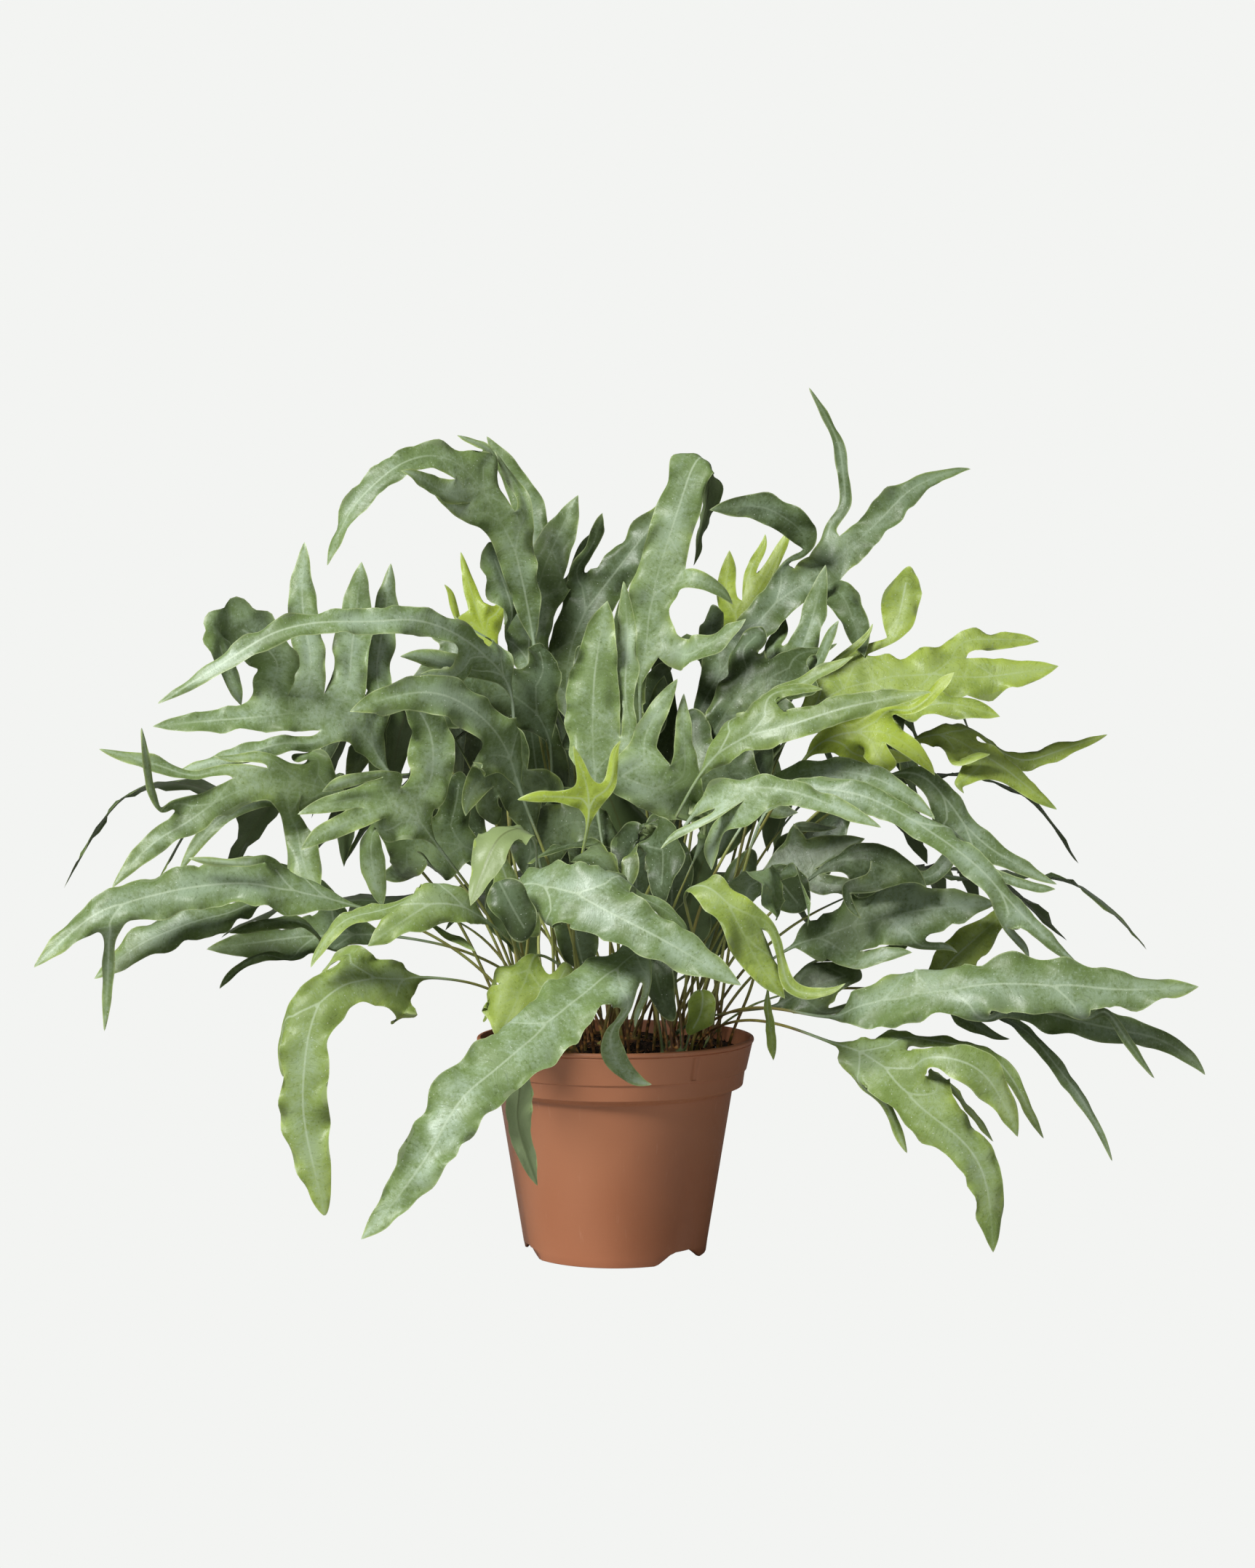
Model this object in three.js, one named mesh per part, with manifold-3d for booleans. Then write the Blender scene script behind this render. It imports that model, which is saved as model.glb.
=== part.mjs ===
// A blue star fern in its nursery pot, standing free: pot, soil, rhizomes and fronds.
// Millimetres, +Z up. The origin lies on the surface under the middle of the pot, and -Y is the front.
import * as THREE from "three";
import { mergeVertices } from "three/addons/utils/BufferGeometryUtils.js";
import Module from "manifold-3d";

const wasm = await Module();
wasm.setup();
const { Vector3 } = THREE;
const UP = new Vector3(0, 0, 1);

// Pot: driving sizes
const POT = {
  height: 131,
  rimRadius: 85,
  rimHeight: 3,
  footRadius: 55.5,
  wall: 1.6,
  floorUnder: 7.5,
  floorThickness: 2,
  padRadius: 14,
  sides: 30,
};
const COLLAR = { low: 111.5, lowRadius: 80.4, high: 127.6, highRadius: 84.1 };
const STEP_UNDER_COLLAR = { low: 98.5, lowRadius: 71.7, high: 102, highRadius: 78.2 };
const FOOT_NOTCH = { height: 7, low: 38.8, high: 14.3, reach: 18, angles: [46, 166, -74] };
const COLLAR_GROOVE = { width: 3.4, depth: 0.6, from: 112.5, to: 127, angles: [35, 155, -85] };
const DRAIN = { radius: 4.5, ring: 40, count: 4, sides: 8 };

// Soil: it fills the pot to a few millimetres under the rim
const SOIL = { gap: 0.6, radius: 81, edge: 121.5, middle: 126, swell: 1.3, rings: [55, 20, 0] };

// Stipes, the stalks of the fronds. Each rises straight to its collar, and then bows out to the blade.
const STIPE = {
  radius: 1.15,
  tipRadius: 0.95,
  sunk: 15,
  holeGap: 0.5,
  holeDeeper: 0.4,
  collar: 8,
  step: 42,
  bowIn: 0.1,
  bowUp: 0.12,
};

// Blades, the flat parts of the fronds. Shares are of the half width, but for those with a note.
const BLADE = {
  step: 20,
  thickness: 1.6, // at the rib
  thinning: 0.35, // share of the thickness that is gone at the tip
  ruffle: 0.13, // how far the edges wave up and down
  waver: 0.11, // how far the edges wave in and out
  turn: 0.45, // how strongly a blade turns back to where its frond faces
  blunt: 0.5, // share of the last step by which a tip is shortened
  tilt: 1.14, // real width to seen width
  taper: 0.6, // power of the curve in to the tip
};

// Lobes leave the edge of a blade at right angles, over a short shoulder
const LOBE = { step: 18, clear: 2.5, shoulder: 9, leave: 5 };

// A strap that meets another one is bent clear of it. It tries these bends in order, in millimetres, each
// with a sway of the stipe, or with a lobe slimmer at its root. The test is made on a thicker strap.
const BENDS = [0, 8, -8, 16, -16, 24, -24, 33, -33, 42, -42, 52, -52, 64, -64];
const SWAYS = [0, 9, -9, 18, -18];
const SLIMS = [1, 0.75, 0.5];
const TEST_THICKNESS = 4;
const TEST_STIPE = 0.5;
const POT_CLEAR = 2.8;

// The points of the fronds are written as seen from this place in front of the plant: how far across
// and how far up they appear in the upright plane through the pot's axis, and how far behind that plane they lie.
const EYE = { across: 7.4, distance: 1500, height: 320 };

// Clumps of stipes: where each stands on the soil
const CLUMPS = {
  left: [-47, -22],
  right: [47, -22],
  front: [-2, -38],
  back_left: [-27, 18],
  back_right: [29, 18],
};
const CLUMP_SPACING = 5.9;
const GOLDEN_ANGLE = (137.5 * Math.PI) / 180;

// Fronds. Each has a clump, the way its face looks, its blade and its lobes. A blade or lobe is its width
// and its points, [across, up, behind]; a lobe's first point says where it leaves the rib.
const FACE = [0, -0.85, 0.5];
const FRONDS = {
  front_long: {
    clump: "front",
    blade: [30, [22, 190, -112], [12, 182, -128], [-29, 149, -165], [-67, 115, -192], [-97, 91, -207],
      [-111, 63, -214], [-128, 39, -218], [-144, 15, -220], [-156, 6, -221]],
    lobes: [
      [17, [-50, 130, 0], [-56, 107, -150], [-63, 85, -148], [-57, 62, -146], [-48, 39, -145]],
      [15, [-2, 155, 0], [-4, 136, -138], [-4, 117, -138], [3, 103, -138], [22, 101, -139]],
      [12, [10, 170, 0], [14, 156, -124], [12, 136, -124]],
    ],
  },
  front_diagonal: {
    clump: "left",
    blade: [27, [-66, 214, -116], [-57, 225, -132], [-35, 222, -150], [-10, 210, -164], [15, 197, -174],
      [40, 184, -180], [60, 172, -184], [77, 162, -186]],
    lobes: [
      [14, [-8, 220, 0], [10, 215, -130], [28, 212, -128], [42, 206, -130], [45, 190, -132]],
      [12, [-40, 215, 0], [-38, 206, -128], [-30, 200, -126]],
    ],
  },
  right_big: {
    clump: "right",
    blade: [28, [134, 140, -112], [146, 148, -124], [178, 154, -138], [214, 161, -148], [251, 163, -156],
      [287, 161, -161], [324, 158, -165], [358, 161, -167]],
    lobes: [
      [17, [215, 158, 0], [245, 149, -132], [270, 143, -133], [296, 137, -135], [324, 131, -138],
        [347, 128, -140], [362, 107, -142]],
      [9, [188, 152, 0], [222, 149, -122], [245, 140, -122], [260, 126, -122], [272, 110, -122],
        [287, 92, -122], [297, 75, -122], [305, 54, -122]],
      [7, [285, 158, 0], [303, 149, -150], [311, 131, -152], [331, 105, -154]],
      [13, [172, 150, 0], [210, 143, -116], [221, 131, -114], [242, 129, -113]],
    ],
  },
  left_big: {
    clump: "left",
    blade: [24, [-160, 211, -68], [-185, 216, -80], [-205, 221, -88], [-230, 225, -96], [-255, 223, -102],
      [-280, 218, -108], [-305, 212, -114], [-325, 203, -119], [-341, 188, -123], [-357, 173, -126]],
    lobes: [
      [25, [-195, 219, 0], [-222, 212, -70], [-250, 203, -74], [-272, 196, -78], [-295, 186, -82],
        [-320, 166, -86]],
      [7, [-305, 212, 0], [-314, 190, -106], [-310, 170, -107], [-313, 150, -108], [-314, 134, -109]],
      [9, [-205, 222, 0], [-225, 236, -104], [-262, 240, -110]],
    ],
  },
  lower_right: {
    clump: "right",
    blade: [27, [136, 125, -122], [148, 123, -136], [164, 112, -152], [176, 97, -162], [190, 84, -169],
      [205, 73, -174], [222, 59, -178], [229, 40, -180], [231, 16, -181], [232, -2, -181]],
    lobes: [
      [18, [166, 110, 0], [190, 117, -166], [210, 117, -170], [227, 110, -173], [239, 92, -174],
        [247, 69, -175]],
      [13, [178, 95, 0], [192, 108, -146], [206, 100, -145], [216, 88, -144], [232, 66, -144]],
      [9, [152, 118, 0], [164, 98, -148], [168, 83, -148], [179, 59, -149]],
      [10, [146, 123, 0], [178, 127, -128], [200, 128, -132], [222, 122, -136], [239, 115, -138],
        [247, 97, -140], [263, 68, -142]],
    ],
  },
  left_hanging: {
    clump: "left",
    blade: [25, [-117, 167, -66], [-134, 166, -86], [-155, 165, -102], [-173, 161, -113], [-185, 147, -119],
      [-190, 125, -124], [-192, 100, -127], [-192, 78, -129], [-187, 57, -130], [-181, 38, -131],
      [-178, 17, -132]],
    lobes: [
      [13, [-190, 140, 0], [-202, 132, -112], [-210, 120, -110], [-203, 103, -108]],
      [11, [-132, 160, 0], [-131, 148, -84], [-138, 136, -84]],
      [15, [-150, 168, 0], [-160, 178, -94], [-173, 180, -96], [-182, 168, -98]],
    ],
  },
  bright_front: {
    clump: "right",
    blade: [20, [41, 221, -146], [51, 226, -155], [63, 221, -162], [72, 207, -166], [80, 188, -168],
      [90, 170, -170], [104, 154, -171]],
    lobes: [
      [18, [84, 178, 0], [91, 160, -154], [95, 140, -153], [97, 116, -153]],
      [9, [92, 166, 0], [108, 152, -172], [125, 151, -172], [141, 163, -172]],
    ],
  },
  pale_hanging: {
    clump: "left",
    face: [-0.5, -0.85, 0.1],
    blade: [21, [-46, 251, -92], [-58, 260, -106], [-70, 258, -118], [-78, 242, -127], [-84, 226, -132],
      [-89, 211, -134]],
    lobes: [
      [24, [-64, 258, 0], [-70, 238, -104], [-62, 213, -108], [-47, 190, -112]],
      [14, [-52, 258, 0], [-48, 274, -84], [-58, 288, -84], [-68, 291, -86]],
    ],
  },
  left_yellow: {
    clump: "left",
    blade: [21, [-78, 201, -108], [-92, 209, -120], [-108, 216, -128], [-126, 205, -134], [-140, 196, -138],
      [-152, 186, -140]],
    lobes: [
      [15, [-104, 214, 0], [-133, 209, -112], [-152, 206, -116], [-169, 203, -120], [-181, 191, -123],
        [-187, 173, -124]],
      [16, [-96, 210, 0], [-112, 197, -96], [-100, 193, -92], [-86, 183, -88]],
    ],
  },
  pot_front: {
    clump: "front",
    blade: [21, [-50, 184, -94], [-53, 171, -104], [-60, 153, -111], [-66, 140, -114], [-74, 127, -116]],
    lobes: [
      [17, [-54, 170, 0], [-40, 171, -110], [-24, 174, -112]],
      [13, [-54, 170, 0], [-66, 167, -106], [-78, 160, -108]],
      [13, [-61, 150, 0], [-72, 153, -104], [-83, 138, -104]],
    ],
  },
  front_small: {
    clump: "front",
    blade: [17, [25, 196, -104], [24, 178, -112], [25, 160, -117], [30, 147, -119], [37, 138, -120]],
    lobes: [],
  },
  soil_young: {
    clump: "right",
    blade: [15, [53, 160, -60], [54, 150, -68], [51, 140, -74], [44, 129, -79]],
    lobes: [],
  },
  front_left: {
    clump: "left",
    blade: [14, [-110, 248, -72], [-118, 261, -80], [-131, 271, -86], [-150, 278, -92], [-172, 276, -97],
      [-195, 267, -101]],
    lobes: [
      [14, [-145, 276, 0], [-165, 268, -104], [-180, 259, -108], [-193, 245, -111]],
      [24, [-118, 262, 0], [-113, 285, -76], [-112, 310, -72], [-117, 331, -76], [-131, 342, -88]],
      [14, [-126, 268, 0], [-134, 288, -96], [-155, 294, -100], [-180, 281, -104]],
      [20, [-130, 270, 0], [-148, 262, -66], [-151, 240, -68], [-143, 210, -70]],
    ],
  },
  cross_ribbon: {
    clump: "left",
    blade: [14, [-62, 338, -26], [-75, 360, -46], [-98, 378, -68], [-122, 387, -84], [-150, 385, -94],
      [-185, 385, -100], [-212, 378, -104], [-240, 360, -108], [-281, 335, -114]],
    lobes: [
      [13, [-80, 362, 0], [-102, 366, -52], [-132, 364, -58]],
      [11, [-68, 350, 0], [-95, 351, -50], [-120, 353, -54]],
      [18, [-72, 356, 0], [-85, 375, -20], [-99, 389, -10]],
    ],
  },
  left_hand: {
    clump: "left",
    blade: [18, [-140, 292, -6], [-151, 311, -14], [-162, 325, -22], [-180, 330, -28], [-205, 328, -34],
      [-240, 325, -40], [-284, 321, -48]],
    lobes: [
      [17, [-152, 312, 0], [-148, 350, 4], [-142, 385, 14], [-138, 421, 24]],
      [20, [-164, 325, 0], [-164, 352, -8], [-160, 385, 0], [-156, 422, 10]],
      [16, [-180, 330, 0], [-186, 360, -22], [-193, 395, -16], [-191, 434, -6]],
      [28, [-196, 330, 0], [-205, 358, -48], [-226, 380, -58], [-246, 386, -66], [-241, 362, -74],
        [-230, 334, -76]],
      [12, [-170, 328, 0], [-195, 313, -36], [-228, 304, -44], [-270, 293, -52]],
    ],
  },
  left_long: {
    clump: "left",
    blade: [15, [-160, 273, -34], [-176, 282, -44], [-195, 287, -52], [-218, 286, -60], [-240, 278, -68],
      [-262, 262, -76], [-285, 250, -84], [-300, 235, -90], [-309, 222, -94]],
    lobes: [
      [11, [-190, 286, 0], [-215, 277, -40], [-238, 268, -44], [-256, 254, -48], [-268, 231, -52]],
      [12, [-225, 284, 0], [-255, 288, -62], [-280, 297, -66], [-317, 307, -74]],
      [10, [-200, 288, 0], [-226, 298, -52], [-247, 303, -54]],
      [8, [-250, 270, 0], [-278, 265, -90], [-286, 282, -94], [-291, 320, -98]],
      [20, [-176, 282, 0], [-196, 262, -34], [-193, 240, -40], [-183, 213, -46]],
      [15, [-178, 283, 0], [-185, 299, -36], [-200, 304, -32]],
    ],
  },
  left_low: {
    clump: "back_left",
    blade: [20, [-140, 193, -14], [-162, 193, -22], [-190, 192, -28], [-222, 188, -34], [-251, 184, -38]],
    lobes: [
      [13, [-165, 193, 0], [-190, 203, -52], [-212, 200, -56], [-237, 194, -60]],
      [11, [-205, 190, 0], [-220, 184, -54], [-232, 174, -58], [-243, 160, -60]],
      [14, [-155, 193, 0], [-175, 214, -6], [-198, 229, -2], [-228, 237, 0], [-262, 229, -4]],
    ],
  },
  long_arch_left: {
    clump: "front",
    blade: [21, [-60, 284, -66], [-65, 304, -76], [-76, 321, -88], [-92, 335, -100], [-112, 343, -108],
      [-132, 342, -114], [-150, 336, -118], [-163, 330, -120]],
    lobes: [
      [9, [-66, 306, 0], [-78, 322, -64], [-66, 328, -62]],
      [12, [-62, 292, 0], [-74, 288, -88], [-88, 299, -94]],
    ],
  },
  arch_top_left: {
    clump: "back_left",
    face: [-0.15, -0.6, 0.8],
    blade: [19, [-50, 372, 34], [-55, 400, 28], [-62, 430, 20], [-74, 454, 12], [-88, 475, 4], [-107, 489, -4],
      [-130, 484, -12], [-150, 468, -18], [-168, 448, -22], [-177, 420, -24]],
    lobes: [
      [15, [-92, 478, 0], [-114, 474, -22], [-132, 478, -30]],
      [10, [-80, 464, 0], [-102, 464, -14], [-120, 474, -20]],
      [11, [-84, 472, 0], [-80, 492, 18], [-97, 500, 24]],
      [10, [-68, 446, 0], [-64, 472, 26], [-74, 490, 32]],
    ],
  },
  strap_top: {
    clump: "back_left",
    blade: [24, [-52, 345, 44], [-53, 372, 50], [-50, 396, 54], [-44, 418, 58], [-34, 441, 62], [-23, 463, 66]],
    lobes: [
      [26, [-54, 352, 0], [-62, 382, 26], [-68, 408, 18], [-80, 437, 8]],
      [20, [-50, 385, 0], [-50, 425, 76], [-56, 462, 80], [-79, 499, 82]],
      [14, [-42, 410, 0], [-28, 424, 76], [-14, 440, 80]],
    ],
  },
  toothed_back: {
    clump: "back_left",
    blade: [11, [-66, 345, 96], [-76, 368, 104], [-84, 388, 110], [-90, 408, 114], [-95, 428, 118]],
    lobes: [
      [8, [-78, 372, 0], [-92, 380, 102], [-103, 384, 100]],
      [8, [-84, 390, 0], [-96, 398, 108], [-105, 408, 106]],
      [8, [-80, 380, 0], [-74, 398, 116], [-72, 412, 120]],
    ],
  },
  dark_centre: {
    clump: "back_left",
    blade: [24, [-27, 322, 36], [-30, 346, 42], [-28, 370, 46], [-18, 392, 50], [-3, 412, 54], [12, 431, 56],
      [26, 450, 58], [40, 466, 60]],
    lobes: [
      [15, [-28, 352, 0], [-44, 380, 66], [-56, 402, 70]],
      [15, [-10, 402, 0], [-14, 430, 66], [-8, 452, 72]],
    ],
  },
  pale_strap: {
    clump: "front",
    blade: [27, [-12, 272, -56], [-14, 300, -50], [-14, 330, -44], [-12, 365, -38], [-5, 398, -34]],
    lobes: [
      [13, [-13, 310, 0], [5, 340, -36], [8, 372, -30], [5, 410, -26]],
    ],
  },
  tall_strap: {
    clump: "back_right",
    blade: [25, [14, 346, 8], [19, 370, 12], [21, 396, 14], [28, 422, 14], [36, 446, 13], [43, 468, 12],
      [50, 489, 12], [57, 486, 26], [57, 458, 32], [48, 420, 36]],
    lobes: [
      [20, [16, 354, 0], [38, 361, -6], [60, 371, -12], [80, 387, -16]],
      [11, [26, 414, 0], [46, 416, 0], [60, 413, 4], [72, 396, 8]],
    ],
  },
  long_diagonal: {
    clump: "back_right",
    blade: [21, [48, 322, 22], [60, 346, 28], [80, 375, 34], [100, 398, 38], [125, 415, 42], [145, 431, 46],
      [165, 450, 50], [182, 468, 52], [200, 478, 54], [218, 479, 56]],
    lobes: [
      [20, [112, 406, 0], [122, 430, 30], [108, 447, 22], [88, 458, 16], [58, 454, 10]],
      [7, [138, 424, 0], [142, 452, 54], [139, 478, 58], [138, 495, 60], [119, 529, 64]],
      [20, [128, 418, 0], [138, 406, 28], [146, 388, 20], [153, 364, 14]],
      [17, [72, 362, 0], [66, 382, 52], [58, 399, 58]],
    ],
  },
  back_fan: {
    clump: "back_right",
    blade: [11, [62, 345, 76], [68, 362, 82], [77, 385, 88], [88, 405, 92], [99, 425, 96], [109, 445, 100]],
    lobes: [
      [14, [74, 380, 0], [70, 405, 96], [70, 429, 102]],
      [10, [84, 398, 0], [90, 420, 100], [92, 439, 106]],
      [13, [92, 412, 0], [110, 418, 88], [122, 410, 84]],
    ],
  },
  upright_grey: {
    clump: "right",
    blade: [15, [100, 332, 16], [107, 350, 20], [115, 369, 22], [122, 390, 24], [129, 420, 26]],
    lobes: [
      [12, [108, 350, 0], [122, 362, 10], [137, 386, 6]],
      [12, [106, 348, 0], [100, 368, 30], [104, 388, 34]],
    ],
  },
  right_yellow_top: {
    clump: "back_right",
    blade: [28, [112, 322, 2], [128, 338, 6], [150, 347, 8], [182, 353, 8], [212, 351, 6], [242, 352, 4],
      [272, 358, 2]],
    lobes: [
      [25, [156, 350, 0], [168, 370, 20], [176, 396, 26], [181, 423, 32]],
      [14, [200, 352, 0], [218, 372, 16], [236, 376, 18], [260, 373, 20]],
      [20, [172, 352, 0], [200, 337, -10], [218, 333, -14], [236, 327, -18]],
      [16, [136, 342, 0], [150, 364, 14], [158, 384, 18]],
    ],
  },
  right_green: {
    clump: "right",
    blade: [14, [116, 302, -50], [130, 315, -58], [150, 318, -64], [172, 317, -68], [186, 309, -71],
      [196, 291, -73]],
    lobes: [
      [18, [166, 318, 0], [182, 328, -80], [194, 341, -84], [208, 354, -86]],
      [15, [164, 316, 0], [174, 303, -78], [165, 291, -82]],
      [12, [140, 318, 0], [160, 306, -44], [182, 300, -42]],
    ],
  },
  wavy_light: {
    clump: "front",
    blade: [16, [50, 290, -84], [63, 305, -92], [86, 317, -100], [110, 322, -106], [135, 331, -110],
      [160, 337, -113], [194, 342, -116]],
    lobes: [
      [13, [60, 304, 0], [74, 322, -78], [92, 336, -78], [112, 346, -80], [146, 364, -82]],
      [11, [76, 314, 0], [100, 344, -92], [127, 344, -94]],
    ],
  },
  right_arch: {
    clump: "back_right",
    blade: [15, [180, 312, 24], [198, 318, 22], [215, 310, 20], [232, 300, 18], [245, 291, 16], [256, 280, 14],
      [271, 270, 12]],
    lobes: [
      [13, [208, 314, 0], [234, 306, 36], [252, 298, 38], [270, 305, 40], [302, 316, 42]],
      [10, [196, 318, 0], [210, 302, 4], [230, 304, 2]],
      [9, [206, 312, 0], [204, 292, 6], [214, 280, 4]],
    ],
  },
  pale_wavy: {
    clump: "front",
    blade: [13, [46, 266, -112], [58, 278, -122], [80, 284, -132], [100, 283, -138], [120, 278, -143],
      [140, 270, -147], [163, 259, -150]],
    lobes: [
      [18, [58, 280, 0], [46, 266, -126], [28, 246, -128]],
      [20, [68, 282, 0], [58, 262, -116], [59, 233, -116]],
    ],
  },
  pale_mid: {
    clump: "front",
    blade: [27, [60, 266, -70], [46, 274, -78], [28, 281, -84], [8, 288, -90], [-10, 297, -94]],
    lobes: [
      [12, [42, 284, 0], [40, 305, -70], [41, 322, -66], [42, 341, -62]],
      [13, [24, 292, 0], [14, 308, -76], [24, 328, -72], [38, 350, -68]],
    ],
  },
  young_centre: {
    clump: "front",
    blade: [7, [-17, 258, -102], [-16, 278, -108], [-20, 294, -112], [-26, 309, -114]],
    lobes: [
      [7, [-16, 282, 0], [-6, 298, -110], [3, 312, -112]],
      [7, [-16, 280, 0], [-40, 280, -110], [-60, 276, -108]],
    ],
  },
  right_arc_one: {
    clump: "right",
    blade: [15, [88, 276, -66], [104, 288, -76], [132, 294, -84], [160, 290, -90], [181, 281, -94],
      [196, 264, -98]],
    lobes: [
      [15, [110, 290, 0], [140, 278, -60], [170, 272, -58], [194, 258, -58]],
    ],
  },
  right_arc_two: {
    clump: "right",
    blade: [14, [90, 268, -92], [105, 281, -102], [128, 283, -110], [152, 279, -116], [172, 270, -121],
      [190, 258, -125], [209, 246, -129], [225, 233, -132], [240, 216, -135], [254, 200, -137], [287, 172, -140]],
    lobes: [
      [8, [238, 216, 0], [249, 195, -130], [254, 178, -130]],
      [9, [196, 254, 0], [216, 238, -116], [232, 226, -114]],
    ],
  },
  right_arc_three: {
    clump: "right",
    blade: [13, [168, 293, -44], [188, 293, -52], [200, 282, -58], [209, 267, -62], [222, 252, -66],
      [240, 238, -70], [271, 224, -74]],
    lobes: [
      [17, [216, 258, 0], [238, 227, -84], [253, 220, -88], [270, 221, -90]],
      [10, [204, 276, 0], [208, 248, -44], [214, 232, -42]],
    ],
  },
  right_blue: {
    clump: "right",
    blade: [28, [108, 186, -52], [126, 192, -62], [150, 199, -70], [172, 205, -76], [192, 209, -80],
      [212, 211, -83], [234, 212, -86]],
    lobes: [
      [18, [140, 196, 0], [160, 184, -88], [182, 182, -92]],
      [17, [168, 204, 0], [190, 222, -60], [205, 240, -58], [216, 256, -58]],
      [14, [152, 200, 0], [160, 222, -52], [175, 242, -48]],
      [16, [180, 206, 0], [196, 192, -72], [210, 182, -70]],
    ],
  },
  right_underside: {
    clump: "right",
    blade: [20, [188, 158, -66], [203, 174, -74], [218, 188, -80], [232, 201, -84], [245, 211, -87]],
    lobes: [
      [15, [200, 172, 0], [222, 172, -62], [238, 178, -58], [250, 176, -56]],
    ],
  },
  right_inner: {
    clump: "right",
    blade: [24, [100, 148, -50], [114, 158, -58], [134, 167, -64], [154, 170, -68]],
    lobes: [
      [18, [122, 162, 0], [146, 176, -56], [166, 178, -52], [182, 190, -50]],
      [13, [116, 160, 0], [138, 152, -48], [160, 150, -44]],
    ],
  },
  grey_lobed: {
    clump: "right",
    blade: [30, [78, 208, -104], [82, 228, -114], [93, 237, -122], [100, 219, -128], [98, 198, -130]],
    lobes: [
      [21, [90, 235, 0], [110, 238, -128], [119, 222, -134], [118, 198, -137]],
    ],
  },
  right_mid_dark: {
    clump: "right",
    blade: [18, [90, 232, -34], [112, 240, -40], [132, 246, -45], [153, 252, -49]],
    lobes: [
      [17, [98, 236, 0], [112, 256, -24], [136, 259, -22]],
      [15, [110, 240, 0], [136, 230, -58], [150, 218, -62]],
    ],
  },
  right_arc_low: {
    clump: "right",
    blade: [13, [122, 230, -70], [146, 243, -80], [168, 245, -86], [183, 236, -90], [191, 222, -92]],
    lobes: [
      [18, [152, 244, 0], [160, 228, -72], [146, 214, -70]],
      [10, [134, 238, 0], [132, 222, -88], [151, 203, -92]],
    ],
  },
  centre_hanging: {
    clump: "front",
    blade: [25, [20, 264, -92], [27, 262, -102], [30, 246, -108], [29, 228, -111], [27, 210, -113]],
    lobes: [
      [18, [25, 262, 0], [11, 252, -102], [7, 236, -104], [8, 220, -105]],
    ],
  },
  centre_left: {
    clump: "front",
    blade: [16, [-30, 236, -98], [-20, 244, -108], [-8, 240, -114], [0, 228, -117], [5, 213, -119]],
    lobes: [
      [19, [-24, 242, 0], [-42, 246, -94], [-54, 236, -96]],
    ],
  },
  inner_left: {
    clump: "left",
    blade: [20, [-50, 252, -50], [-57, 272, -56], [-66, 290, -60], [-80, 296, -66], [-92, 286, -72],
      [-92, 266, -76]],
    lobes: [
      [21, [-58, 276, 0], [-44, 286, -48], [-34, 276, -44]],
      [17, [-66, 290, 0], [-62, 308, -50], [-68, 328, -44]],
      [17, [-72, 293, 0], [-76, 276, -56], [-72, 258, -54]],
    ],
  },
  inner_left_low: {
    clump: "left",
    blade: [21, [-78, 240, -30], [-92, 248, -36], [-112, 250, -42], [-132, 254, -46], [-150, 262, -48]],
    lobes: [
      [18, [-90, 248, 0], [-108, 236, -56], [-122, 244, -60]],
      [15, [-104, 250, 0], [-124, 232, -30], [-146, 228, -28]],
      [17, [-98, 249, 0], [-98, 272, -22], [-95, 296, -18]],
    ],
  },
  inner_left_high: {
    clump: "back_left",
    blade: [27, [-38, 312, -4], [-48, 328, -10], [-62, 341, -16], [-80, 351, -20], [-104, 358, -22],
      [-126, 350, -24]],
    lobes: [
      [20, [-56, 336, 0], [-50, 356, 2], [-46, 376, 8]],
      [16, [-78, 350, 0], [-94, 336, -30], [-110, 322, -32]],
      [17, [-90, 354, 0], [-100, 372, -8], [-114, 382, -4]],
    ],
  },
  inner_centre: {
    clump: "front",
    blade: [26, [-58, 228, -78], [-50, 244, -84], [-38, 257, -88], [-20, 266, -90], [-6, 260, -92],
      [6, 246, -92]],
    lobes: [
      [20, [-44, 250, 0], [-50, 268, -70], [-44, 288, -64]],
      [19, [-22, 264, 0], [-14, 278, -78], [0, 288, -74]],
      [18, [-34, 260, 0], [-24, 244, -76], [-12, 234, -74]],
    ],
  },
  inner_top: {
    clump: "back_right",
    blade: [22, [0, 290, 16], [4, 318, 20], [6, 346, 20], [8, 376, 18], [4, 402, 16]],
    lobes: [
      [19, [4, 312, 0], [24, 328, 30], [30, 352, 32]],
      [18, [5, 330, 0], [-14, 350, 32], [-24, 374, 34]],
      [17, [2, 302, 0], [-20, 316, 8], [-34, 306, 4]],
    ],
  },
  inner_right: {
    clump: "right",
    blade: [20, [54, 250, -16], [60, 274, -20], [67, 298, -22], [80, 322, -22], [96, 338, -22]],
    lobes: [
      [20, [62, 280, 0], [84, 290, -10], [96, 310, -6]],
      [20, [66, 296, 0], [52, 312, -8], [46, 334, -4]],
      [18, [60, 272, 0], [84, 268, -30], [112, 268, -36]],
      [18, [56, 262, 0], [40, 268, -6], [28, 286, -2]],
    ],
  },
  inner_right_high: {
    clump: "right",
    blade: [24, [58, 312, -6], [70, 334, -8], [88, 349, -10], [108, 351, -12], [127, 342, -14]],
    lobes: [
      [20, [76, 340, 0], [92, 332, -24], [114, 332, -28]],
      [18, [82, 346, 0], [82, 366, 2], [92, 384, 6]],
      [15, [98, 351, 0], [118, 362, -4], [136, 372, -2]],
    ],
  },
};

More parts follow.
